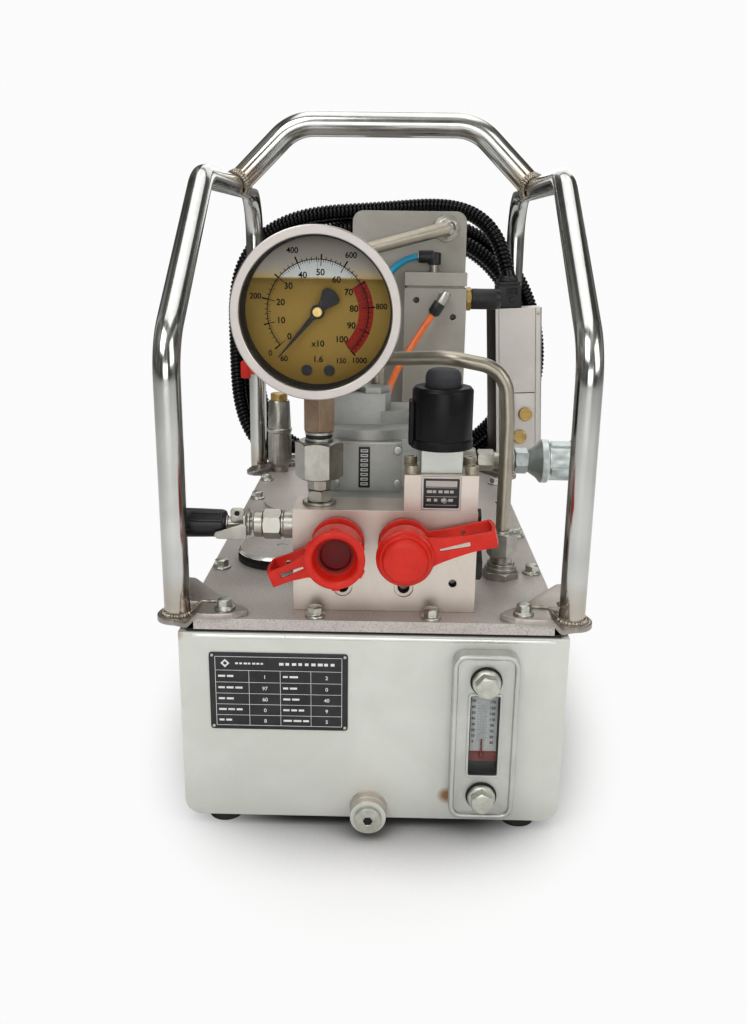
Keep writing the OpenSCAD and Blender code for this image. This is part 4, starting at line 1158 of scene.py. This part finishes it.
for z in (42.5, -44.5):
    p.add(ringed([(4.8, 8.6), (10.5, 8.6), (10.5, 11.4), (4.8, 11.4)], 40), 0, LG @ T(0, z, 0))
p.make("level_gauge_seals", ["seal_rubber"], angle=34)
p = Part()
p.add(flat([rrect(21.2, 58.8, 0.6, 2, 0, 2)], 3.2, 4.2, 0.05, 1), 0, LG)
p.add(box(-10.4, -27.4, 4.15, 10.4, -20.6, 4.5), 1, LG)
p.add(box(-10.4, -20.6, 4.15, 10.4, -13.2, 4.35), 2, LG)
p.add(box(-10.4, -13.6, 4.15, 10.4, -12.9, 4.7), 3, LG)
p.add(lathe([(0, -17.5), (2.1, -17.2), (2.7, -15.4), (2.3, -13.5), (1.55, -12.4), (1.5, 22), (1.2, 23.2), (0, 23.4)], 32), 4, LG @ T(-1.0, 0, 5.2) @ Rx(-90))
p.add(lathe([(0, -17), (1.6, -16), (1.7, -14.8), (0.6, -13.0), (0.55, -3), (0, -2.9)], 20), 3, LG @ T(-1.0, 0, 5.6) @ Rx(-90))
for i in range(15):
    z = -4.5 + i * 2.0
    p.add(box(-4.4, z, 4.15, -3.0 if i % 2 else -2.7, z + 0.25, 4.32), 1, LG)
    p.add(box(0.9, z, 4.15, 2.3 if i % 2 else 1.9, z + 0.25, 4.32), 1, LG)
p.make("level_gauge_card", ["scale_white", "plate_black", "oil_red", "mark_red", "clear_plastic"], angle=34, replaces=("level_gauge_scale",))
items = []
for i, v in enumerate((0, 10, 20, 30, 40, 50, 60, 70)):
    items.append((str(v), 76.5 - 7.1, -4.35, -80 - 5.6 + i * 4.4, 2.7))
    items.append((str(30 + v * 2), 76.5 + 5.8, -4.35, -80 - 6.4 + i * 4.4, 2.7))
numbers("level_gauge_numbers", items, "mark_black")

# ---------------------------------------------------------------- plates with generic tables
p = Part()
PL = T(-64.5, 0, -52.75) @ F
p.add(flat([rrect(95, 57.5, 2.0, 5)], 0.02, 0.8, 0.15, 1), 0, PL)
for x, z in ((-45.4, 26.6), (45.4, 26.6), (-45.4, -26.6), (45.4, -26.6)):
    p.add(lathe([(0, 1.5), (0.7, 1.4), (1.1, 1.1), (1.2, 0.7)], 20), 2, PL @ T(x, z, 0))


def bar2(x, z, w, h=0.35, y=0.86):
    p.add(box(x, z, 0.7, x + w, z + h, y), 1, PL)


bar2(-43.5, 25.6, 87)
bar2(-43.5, -26.0, 87)
bar2(-43.5, -26.0, 0.35, 51.9)
bar2(43.2, -26.0, 0.35, 51.9)
for z in (15.5, 6.6, -1.8, -10.0, -18.2):
    bar2(-43.5, z, 87, 0.3)
for x in (-20.5, 1.0, 22.0):
    bar2(x, -26, 0.3, 41.6)
import random
rng = random.Random(7)
p.add(flat([circle(3.1, 4, -36.5, 20.9), circle(1.5, 4, -36.5, 20.9)], 0.72, 0.92, 0.02, 1), 1, PL)
for k in range(7):
    w = 1.6 + rng.random() * 1.2
    bar2(-29.5 + k * 2.9, 20.2, w, 1.3)
for k in range(9):
    bar2(0.5 + k * 4.4, 19.8, 2.4 + rng.random() * 1.3, 2.0)
for r_, z in enumerate((10.0, 1.4, -6.9, -15.1, -23.2)):
    for c_, x in enumerate((-41.5, -19.0, 3.0, 24.0)):
        if c_ in (0, 2):
            xx = x
            for k in range(2 + rng.randrange(2)):
                w = 3.2 + rng.random() * 3.0
                bar2(xx, z + 0.6, w, 1.5)
                xx += w + 1.2
p.make("name_plate", ["plate_black", "plate_print", "zinc_fastener"], angle=40, replaces=("data_plates",))
items = []
for (r_, z), v in zip(enumerate((10.8, 2.2, -6.1, -14.3, -22.4)), ((1, 2), (97, 0), (60, 40), (0, 9), (8, 5))):
    items.append((str(v[0]), -64.5 - 9.5, -0.84, -52.75 + z, 3.8))
    items.append((str(v[1]), -64.5 + 33.0, -0.84, -52.75 + z, 3.8))
numbers("name_plate_numbers", items, "plate_print")

p = Part()
VL = T(43.75, 20.0, 85.0) @ F
p.add(flat([rrect(26.5, 23, 0.8, 3), rrect(23.6, 20.2, 0.5, 3)], 0.02, 1.6, 0.3, 1), 1, VL)
p.add(flat([rrect(24.2, 20.8, 0.5, 3)], 0.02, 0.9, 0.1, 1), 0, VL)
p.add(box(-10.4, 4.6, 0.8, 10.4, 8.6, 1.0), 2, VL)
for z in (3.8, -2.4, -8.2):
    p.add(box(-10.4, z, 0.8, 10.4, z + 0.3, 1.0), 2, VL)
for z, n_ in ((0.2, 5), (-5.6, 4)):
    for k in range(n_):
        x = -9.6 + k * (19.2 / n_)
        p.add(box(x, z, 0.8, x + 2.2 + 1.2 * rng.random(), z + 1.9, 1.0), 2, VL)
p.add(flat([circle(2.2, 4, 2.2, -5.0), circle(1.7, 4, 2.2, -5.0)], 0.85, 1.05, 0.02, 1), 2, VL)
p.make("valve_plate", ["plate_black", "brushed_stainless", "lug_steel"], angle=40)

# ---------------------------------------------------------------- solenoid valve
VX, VY = 44.0, 41.0
V = T(VX, VY, 0)
p = Part()
p.add(lathe([(7.6, 112.5), (20.9, 112.5), (21.3, 112.9), (21.35, 118.0), (21.1, 118.4), (20.45, 118.6), (20.4, 119.0), (20.5, 119.3), (20.5, 150.9), (20.2, 151.7), (19.4, 152.4), (18.9, 153.3), (18.2, 153.5), (12.9, 153.5), (12.6, 153.1), (12.5, 148.6), (7.6, 148.5)], 128), 0, V)
p.add(flat([rrect(16, 30, 2.5, 6)], 18.8, 22.6, 1.0, 2), 0, T(VX, VY, 129) @ Rz(180) @ Ry(90) @ Rz(90))
p.make("valve_coil_shell", ["coil_black"], angle=30, replaces=("valve_coil",), fix=False)
p = Part()
p.add(lathe([(0, 148.8), (3, 148.8), (3, 151.8), (11.9, 151.8), (12.2, 152.4), (11.95, 155.0), (12.1, 158.5), (11.95, 160.6), (11.3, 162.6), (10.0, 164.2), (8.0, 165.1), (5.0, 165.5), (0, 165.6)], 96), 0, V)
p.make("override_cap", ["boot_rubber"], body="override", angle=50, replaces=("override_boot",), fix=False)
p = Part()
for x in (23.75, 64.25):
    for y in (27, 55):
        M = T(x, y, 0)
        hx_ = [(2.3 * math.cos(rad(60 * j + 15)), 2.3 * math.sin(rad(60 * j + 15))) for j in range(6)]
        p.add(flat([circle(4.45, 40), hx_], 99.4, 102.5, 0.35, 2), 0, M)
        p.add(lathe([(0, 97.02), (4.45, 97.02), (4.45, 99.5), (0, 99.6)], 40), 0, M)
        for j in range(28):
            p.add(box(4.35, -0.17, 97.3, 4.62, 0.17, 101.8), 0, M @ Rz(j * 360 / 28))
p.make("valve_bolts", ["screw_steel"], angle=34, replaces=("valve_screws",))

# ---------------------------------------------------------------- gauge stem
p = Part()
ST = T(-39, 38, 0)
p.add(lathe([(5.3, 71), (5.3, 72), (11.2, 72), (11.5, 72.3), (11.5, 73.6), (11.0, 74.0), (5, 74.0)], 64), 0, ST)
p.add(hexhead(8, 15.4, 74, both=True), 0, ST @ Rz(12))
p.add(hexhead(8, 14.2, 82, both=True), 0, ST @ Rz(38))
p.add(hexhead(26, 28.6, 90, both=True, k=0.93), 0, ST @ Rz(28))
p.add(lathe([(9.5, 116.2), (9.5, 118.0), (8.4, 118.6), (8.4, 120.2), (9.6, 120.6), (9.6, 122.4), (8, 122.6)], 64), 0, ST)
p.add(ringed([(8.2, 118.6), (9.1, 118.9), (9.1, 119.9), (8.2, 120.2)], 48), 2, ST)
p.add(hexhead(27.4, 20, 122.6, both=True), 1, ST @ Rz(6))
p.make("gauge_stem", ["nickel_steel", "bronze_hex", "seal_rubber"], bevel=0.2, angle=30, replaces=("gauge_adaptor",))

# ---------------------------------------------------------------- pressure adjuster
p = Part()
RG = T(0, 42, 55) @ RX
p.add(lathe([(6.9, -59), (6.9, -55.5), (9.75, -56), (9.75, -63.5), (9.3, -64.0), (8.8, -64.1), (8.8, -65.5), (8, -65.6)], 64), 0, RG)
p.add(hexhead(13, 18.5, -78.5, both=True), 0, RG @ Rz(20))
p.add(lathe([(4.6, -84.6), (8.9, -84.5), (9.3, -84.1), (9.3, -79.0), (8.9, -78.4), (8, -78.3)], 64), 0, RG)
p.make("adjuster_fitting", ["nickel_steel"], bevel=0.25, angle=30, replaces=("regulator_fitting",))
p = Part()
p.add(lathe([(0, -146.0), (7.6, -146.0), (8.4, -145.5), (8.6, -144.4), (8.9, -143.6), (9.9, -142.8), (10.3, -141.6), (10.3, -137), (10.0, -121), (9.6, -107.2), (9.2, -105.6), (8.4, -104.5), (6.8, -104.0), (0, -104.0)], 72), 0, RG)
p.add(lathe([(0, -105), (5.6, -105), (5.6, -103.0), (4.5, -102.6), (4.5, -91), (4.2, -90.5), (4.2, -58), (0, -58)], 48), 2, RG)
SL = T(-117.0, 42, 55) @ Rx(48)
p.add(flat([rrect(23.0, 7.4, 1.2, 4), rrect(20.4, 4.8, 0.7, 4)], 9.1, 10.45, 0.3, 2), 0, SL)
# black plate inside the raised frame: painted shade standing in for the slot's recess
p.add(flat([rrect(20.6, 5.0, 0.7, 4)], 9.2, 10.1, 0.1, 1), 1, SL)
p.make("adjuster_grip", ["handle_black", "seal_rubber", "nickel_steel"], body="pressure_handle", angle=34, replaces=("regulator_handle",), fix=False)

p = Part()
p.add(lathe([(4.65, -90.3), (8.4, -90.3), (8.4, -87.5), (4.65, -87.5)], 48), 0, RG)
p.add(flat([rounded([(-111.4, 49.8), (-109.4, 47.2), (-88.8, 46.6), (-88.8, 57.8), (-92.4, 57.8), (-110.4, 51.8)], 1.8)], 10.8, 12.5, 0.3, 2), 0, T(0, 42, 0) @ F)
p.add(flat([rrect(22.4, 16.5, 2.0, 4, -1.2, 0.75), circle(4.7, 32)], -91.0, -89.2, 0.3, 2), 0, T(0, 42, 55) @ Matrix(((0, 0, 1, 0), (1, 0, 0, 0), (0, 1, 0, 0), (0, 0, 0, 1))))
p.add(flat([rrect(9.6, 10.8, 2.6, 5, -95.6, 62.2), circle(1.75, 28, -95.9, 63.8)], 4.7, 6.4, 0.35, 2), 0, T(0, 42, 0) @ F)
# black disc closing the hole in the wing: painted shade of the hole
p.add(lathe([(0, 4.8), (1.7, 4.8), (1.7, 5.2), (0, 5.2)], 24), 1, T(-95.9, 42, 63.8) @ Rx(90))
p.make("lock_wing", ["nickel_steel", "seal_rubber"], body="lock_lever", angle=32, replaces=("lock_lever",), fix=False)

# ---------------------------------------------------------------- smooth pipes and tubes
for nm, node, pts, R_, d_, mt in (
        ("air_line_pipe", "air_pipe", [(58, 305, 257), (-36, 296, 232), (-34, 190, 192), (-20, 131, 176), (-20, 131, 136.6)], 24, 12, "champagne_nickel"),
        ("return_line_pipe", "return_pipe", [(-2, 146, 136.4), (-2, 146, 158), (50, 96, 166), (92, 96, 158), (95, 96, 120), (95, 96, 33)], 26, 10.4, "champagne_nickel"),
        ("air_tube_blue", "blue_tube", [(39.8, 315, 231.5), (25, 315, 231.5), (10, 312, 222), (-2, 306, 206), (-8, 296, 184), (-10, 250, 150), (-12, 200, 136), (-14, 178, 128)], 18, 6, "tube_blue"),
        ("air_tube_orange", "orange_tube", [(50, 291.5, 187.77), (42.4, 291.5, 176), (30, 288, 157), (14, 276, 132), (8, 230, 124), (6, 190, 122), (4, 172, 122)], 18, 6, "tube_orange")):
    line = fillet(pts, R_, 14)
    line, _, _ = resample(line, 1.5)
    if d_ == 6:
        line = relax(line, 25)
    p = Part()
    p.add(tube(line, d_ / 2, n=36), 0)
    if node == "air_pipe":
        E = T(58, 0, 257) @ RY
        p.add(lathe([(0, 304.6), (4, 304.8), (6.3, 306.2), (7.2, 308.5), (7.4, 311), (7.0, 313), (6.8, 326), (11.8, 327), (12.0, 327.4), (12.0, 329.8), (0, 330)], 56), 1, E)
        p.add(hexhead(5, 17, 319, both=True), 1, E)
        p.add(lathe([(5.9, 0), (7.4, 0.4), (7.4, 6.5), (6.6, 7.2), (5.9, 7.3)], 40), 1, T(-20, 131, 136.8))
    p.make(nm, [mt, "nickel_steel"], angle=40, replaces=(node,), fix=False)

# elbows of the thin tubes
p = Part()
p.add(lathe([(0, 205.9), (5.2, 206), (5.4, 206.4), (5.4, 208.4), (4.1, 208.9), (4.1, 224.5), (0, 224.6)], 40), 1, T(47, 315, 0))
p.add(lathe([(0, 224.5), (5.6, 224.6), (6.1, 225.2), (6.1, 234.2), (5.5, 235.2), (3, 235.7), (0, 235.8)], 48), 0, T(47, 315, 0))
p.add(ringed([(3.2, -14.6), (5.0, -14.4), (5.5, -13.8), (5.6, -1), (3.2, -0.5)], 48), 0, T(47, 315, 231.5) @ RX)
p.add(ringed([(3.1, -15.6), (4.3, -15.4), (4.3, -14.0), (3.1, -14.0)], 40), 1, T(47, 315, 231.5) @ RX)
OB = T(56, 291.5, 197) @ Ry(213)
p.add(lathe([(0, 305.0), (5.0, 305.0), (5.0, 303.4), (4.0, 302.6), (4.0, 291.5), (0, 287.2)], 40), 1, T(56, 0, 197) @ RY @ T(0, 0, 0))
p.add(lathe([(0, -5.4), (3.6, -5.0), (4.2, -3.8), (4.2, 7.4), (0, 7.5)], 48), 1, OB)
p.add(lathe([(4.0, 6.6), (5.2, 6.8), (5.5, 7.4), (5.5, 16.6), (5.0, 17.6), (3.15, 17.9), (3.1, 11)], 48), 0, OB)
p.add(ringed([(3.1, 17.6), (4.2, 17.7), (4.2, 19.0), (3.1, 19.0)], 40), 0, OB)
p.make("tube_elbows", ["fitting_black", "nickel_steel"], angle=34, replaces=("push_fittings",), fix=False)

p = Part()
SI = T(0, 318, 194) @ RX
p.add(lathe([(0, 70), (6, 70), (6, 77)], 40), 1, SI)
p.add(hexhead(5.5, 19, 77, both=True), 1, SI @ Rz(14))
sil = [(8.2, 82.5), (9.4, 82.8), (9.5, 84.0)]
sil += [(9.5, 88.0), (9.45, 96.0)]
sil += [(9.5, 104.0), (9.2, 106.6), (8.0, 109.0), (5.6, 110.3), (0, 110.5)]
p.add(lathe(sil, 72), 0, SI)
p.make("air_silencer", ["fitting_black", "brass"], angle=34, replaces=("silencer",), fix=False)

# ---------------------------------------------------------------- return fitting and air inlet
p = Part()
RF = T(95, 96, 0)
p.add(hexhead(6, 24.6, 0.02, both=False, k=0.94), 0, RF @ Rz(9))
p.add(lathe([(11.9, 6.0), (12.0, 6.4), (12.0, 8.4), (11.4, 9.0), (10.5, 9.2), (10.5, 11.4), (9.8, 12.0), (8.5, 12.3), (8.5, 17), (7.6, 17.2)], 64), 0, RF)
p.add(hexhead(19, 20, 17, both=True), 0, RF @ Rz(12))
p.add(lathe([(8.4, 36), (8.2, 37.4), (5.3, 37.9)], 48), 0, RF)
p.add(lathe([(7.8, -30), (7.8, 0.5)], 40), 0, RF)
p.make("return_union", ["nickel_steel"], bevel=0.25, angle=30, replaces=("return_fitting",), fix=False)

p = Part()
IN = T(0, 135, 82) @ RX
p.add(lathe([(6, 47), (6, 76)], 48), 0, IN)
p.add(hexhead(14, 17.5, 62, both=True), 0, IN @ Rz(5))
p.add(hexhead(13, 15, 77, both=True), 0, IN @ Rz(16))
p.add(lathe([(6.5, 90), (6.5, 97.6), (8.6, 98), (9.0, 98.5), (9.0, 105.4), (8.6, 105.9), (5.8, 106), (5.8, 121.5), (3.5, 121.5), (3.5, 60)], 56), 0, IN)
p.make("inlet_union", ["nickel_steel"], bevel=0.25, angle=30, replaces=("inlet_fittings",), fix=False)
p = Part()
p.add(hexhead(10, 17.6, 106.2, both=True, hole=5.95, k=0.96), 0, IN @ Rz(12))
p.add(ringed([(6.2, 115.9), (8.4, 116), (9.4, 117.6), (13.0, 123.0), (16.2, 125.6), (17.0, 126.6), (17.0, 131.2), (16.4, 132.0), (15.2, 132.4), (15.0, 133.2), (15.0, 148.6), (15.4, 149.6), (16.6, 150.0), (17.0, 150.6), (17.0, 154.2), (16.4, 155.0), (10.8, 155.0), (10.0, 154.2), (10.0, 122.1), (6.2, 122.0)], 96), 0, IN)
for j in range(2):
    p.add(flat([rrect(16, 7, 1.5, 4)], 14.2, 16.6, 0.6, 2), 0, T(141, 135, 82) @ Rx(90 * j + 20))
p.make("air_coupling", ["galvanised"], body="inlet", bevel=0.3, angle=30, replaces=("inlet_coupling",), fix=False)

# ---------------------------------------------------------------- pendant
PD = T(145, 423, 0) @ Ry(-3)
p = Part()
sec = [(-27, 4.0), (-20.4, -14.0), (-17.4, -14.0), (-17.1, -13.5), (-16.7, -14.0), (20.2, -14.0), (20.6, -13.5), (21.0, -14.0), (25.6, -14.0), (27.0, -12.6), (27.0, 12.8), (25.8, 14.0), (-25.6, 14.0), (-27, 12.6)]
p.add(prism(sec, 30, 180), 0, PD)
p.add(flat([rrect(36.4, 61, 0.8, 3)], 14.0, 15.55, 0.3, 2), 0, PD @ T(2.0, 0, 61.5) @ F)
p.add(box(-16.4, -14.15, 92.2, 20.4, -13.6, 92.9), 1, PD)
# dark strips over the pendant's left faces
p.add(flat([rrect(18.0, 149, 0.4, 2, 0, 105)], 0, 0.3, 0.05, 1), 3, PD @ T(-23.7, -5.0, 0) @ Rz(-69.9) @ F)
p.add(flat([rrect(8.2, 149, 0.4, 2, 0, 105)], 0, 0.3, 0.05, 1), 3, PD @ T(-27, 8.3, 0) @ Rz(-90) @ F)
for bx, bz in ((10, 70), (4, 46)):
    p.add(ringed([(7.3, 15.5), (8.2, 15.5), (8.35, 15.8), (8.2, 16.0), (7.3, 16.0)], 48), 0, PD @ T(bx, 0, bz) @ Rx(90))
for x, z in ((23.6, 36), (23.6, 174)):
    p.add(lathe([(1.7, 14.0), (1.7, 14.5), (1.2, 14.9), (0, 15.0)], 24), 2, PD @ T(x, 0, z) @ Rx(90))
p.make("pendant_case", ["pendant_aluminium", "seal_rubber", "screw_steel", "pendant_dark_side"], bevel=0.35, angle=30, replaces=("pendant_housing",))
for nm, bx, bz in (("upper", 10, 70), ("lower", 4, 46)):
    p = Part()
    p.add(lathe([(7.15, 10.7), (7.2, 17.6), (6.8, 18.3), (6.2, 18.6), (5.4, 18.45), (0, 18.3)], 64), 0, PD @ T(bx, 0, bz) @ Rx(90))
    p.add(lathe([(7.2, 10.7), (8.5, 10.7), (8.5, 8.3), (0, 8.3)], 48), 0, PD @ T(bx, 0, bz) @ Rx(90))
    p.make("push_button_" + nm, ["brass"], body="button_" + nm, angle=30, replaces=("pendant_button_" + nm,), fix=False)
# clamp that holds the hose on the pendant
p = Part()
PG = PD @ T(-6.2, 0, 0)
p.add(flat([rrect(25.5, 24, 2.0, 5)], 180, 203.2, 0.9, 2), 0, PG)
p.add(flat([rrect(23.5, 22.5, 3.0, 5)], 203.0, 206.6, 0.8, 2), 0, PG)
p.add(flat([rrect(20, 20, 6.0, 6)], 206.4, 209.6, 0.8, 2), 0, PG)
p.add(flat([rrect(11.5, 9.0, 0.8, 3), rrect(8.6, 6.2, 0.5, 3)], 12.0, 13.1, 0.25, 2), 0, PG @ T(3.6, 0, 197.2) @ F)
p.add(flat([rrect(8.6, 6.2, 0.5, 3)], 11.95, 12.2, 0.05, 1), 1, PG @ T(3.6, 0, 197.2) @ F)
p.add(lathe([(0, 12.0), (3.0, 12.0), (3.0, 13.2), (2.5, 13.9), (0, 14.0)], 28), 0, PG @ T(3.4, 0, 188.6) @ Rx(90))
p.add(lathe([(0, 14.0), (1.3, 14.0), (1.3, 14.15), (0, 14.15)], 20), 1, PG @ T(3.4, 0, 188.6) @ Rx(90))
p.add(ringed([(7.9, 205.5), (9.8, 206.0), (10.0, 207.0), (9.6, 211.5), (8.8, 212.6), (7.9, 212.8)], 56), 0, PG)
p.add(ringed([(7.0, 337.9), (12.0, 338), (12.0, 345), (11.6, 345.6), (9.4, 350.6), (9.0, 352), (7.0, 352)], 56), 0, T(50, 0, 28) @ RY)
p.make("hose_clamps", ["fitting_black", "seal_rubber", "screw_steel"], bevel=0.25, angle=34, replaces=("hose_glands",), fix=False)

# red cable clip at the back left leg
p = Part()
p.add(flat([rrect(10.5, 19, 2.2, 5)], -4.5, 4.5, 1.2, 3), 0, T(-149.5, 450, 107.5) @ F)
p.add(ringed([(9.05, -4), (11.0, -4), (11.2, -3.4), (11.2, 3.4), (11.0, 4), (9.05, 4)], 48), 0, T(-137, 450, 107.5))
p.make("red_clip", ["red_plastic"], bevel=0.3, angle=34, fix=False)

# ---------------------------------------------------------------- filler disc, breather
p = Part()
FC = T(-76, 133, 4)
p.add(lathe([(22, -22), (22, 0.0), (33.4, 0.0), (33.4, 3.1)], 96), 1, FC)
p.add(lathe([(30, 3.0), (34.7, 3.0), (35.0, 3.3), (34.9, 3.6), (33.3, 5.8), (32.9, 6.0), (21.0, 6.0), (20.6, 5.7), (20.2, 6.0), (4.2, 6.0), (4.0, 5.4), (0, 5.4)], 128), 0, FC)
# black cups in the three holes on the disc: painted shade of the holes
for j in range(3):
    p.add(lathe([(0, 4.4), (2.1, 4.4), (2.3, 5.6), (2.5, 6.02)], 24), 1, FC @ Rz(60 + 120 * j) @ T(27, 0, 0))
# bright rim on the chamfer: machined finish and painted highlight
p.add(ringed([(34.6, 3.25), (35.05, 3.3), (35.0, 3.7), (33.5, 5.8), (33.1, 6.05), (32.8, 5.8)], 128), 2, FC)
p.make("filler_disc", ["blasted_aluminium", "seal_rubber", "machined_edge_and_painted_highlight"], body="filler", angle=28, replaces=("filler_cap",), fix=False)
p = Part()
BR = T(-111, 427, 0)
p.add(lathe([(5.8, -16), (5.8, 0), (9, 0), (9.0, 5.6), (9.6, 6.4), (12.2, 9.6), (12.5, 10.4), (12.5, 43.6), (13.2, 44.2), (13.5, 45), (13.5, 47.2), (13.0, 48.0), (12.5, 48.4), (12.4, 52), (11.2, 77.0), (10.6, 78.0), (9.0, 78.4)], 96), 0, BR)
p.add(lathe([(9.0, 78.3), (9.0, 84.8), (8.2, 85.8), (6.6, 86.0), (0, 86.0)], 64), 1, BR)
for j in range(28):
    p.add(box(12.3, -0.5, 14, 12.8, 0.5, 40), 0, BR @ Rz(j * 360 / 28))
p.make("breather", ["nickel_steel", "brass"], angle=30, replaces=("breather_filter",), fix=False)

# bead along the tank's top edge in a brighter steel: painted highlight
p = Part()
lip = fillet([(0, 470.4, -12.6), (-130.4, 470.4, -12.6), (-130.4, 1.9, -12.6), (130.4, 1.9, -12.6), (130.4, 470.4, -12.6), (0.01, 470.4, -12.6)], 9, 8)
p.add(tube(resample(lip, 4.0)[0], 2.35, n=16, up=(0, 0, 1)), 0)
p.make("tank_lip", ["tank_steel_painted_highlight"], angle=50)

# ---------------------------------------------------------------- motor bands and rating strip
p = Part()
MO = T(-8, 135, 0)
p.add(ringed([(44.6, 103.9), (45.45, 104.3), (45.5, 105.3), (44.6, 105.7)], 128), 0, MO)
p.add(flat([rrect(51.6, 0.9, 0.4, 2)], 0, 0.5, 0.15, 1), 0, T(-8, 88, 103.6) @ F)
for x in (-31.0, 15.0):
    p.add(hexhead(2.6, 6.4, 0, dome=0.2), 0, T(x, 88, 99) @ RY @ Rx(180))
    p.add(hexhead(2.6, 6.4, 0, dome=0.2), 0, T(x, 88, 74) @ RY @ Rx(180))
p.make("motor_bands", ["satin_cast_aluminium"], angle=30)
p = Part()
MP = T(-9.6, 87.95, 85.8) @ F
p.add(flat([rrect(8.3, 30.6, 0.5, 3)], 0, 0.85, 0.15, 1), 0, MP)
for k in range(8):
    z = -13.9 + k * 3.55
    p.add(flat([rrect(5.4, 2.3, 0.3, 2, 0, z + 1.5), rrect(3.8, 0.75, 0.15, 2, 0, z + 1.5)], 0.75, 0.98, 0.02, 1), 1, MP)
p.make("motor_strip", ["plate_black", "plate_print"], angle=40)

# ---------------------------------------------------------------- painted shade in the ports and the drain socket, and the drain collar
p = Part()
# black rings and discs inside the ports: painted shade of the bores
for x, z, r_, y0, y1 in ((-22, 17, 3.95, 20.6, 33.5), (20, 17, 3.95, 20.6, 32.0), (53.5, 21, 2.65, 20.3, 30.5)):
    p.add(ringed([(r_ - 0.3, y0), (r_, y0), (r_, y1), (r_ - 0.3, y1)], 40), 0, T(x, 0, z) @ RY)
    p.add(lathe([(0, y1 - 0.6), (r_ - 0.2, y1 - 0.6), (r_ - 0.2, y1 - 0.2), (0, y1 - 0.2)], 40), 0, T(x, 0, z) @ RY)
p.make("port_bores_painted_shade", ["seal_rubber"], angle=34)
p = Part()
p.add(ringed([(11.2, -13.6), (12.2, -13.6), (12.6, -13.0), (12.6, -8.2), (12.2, -7.9), (12.2, -7.3), (12.6, -7.0), (12.6, -1.2), (13.2, -0.1), (11.2, -0.1)], 96), 0, T(-2, 0, -141.5) @ RY)
p.make("drain_collar", ["satin_aluminium"], angle=24)
p = Part()
p.add(lathe([(0, -16.2), (3.0, -16.2), (3.0, -15.8), (0, -15.8)], 32), 0, T(-2, 0, -141.5) @ RY)
p.make("drain_socket_shadow", ["seal_rubber"], angle=34)
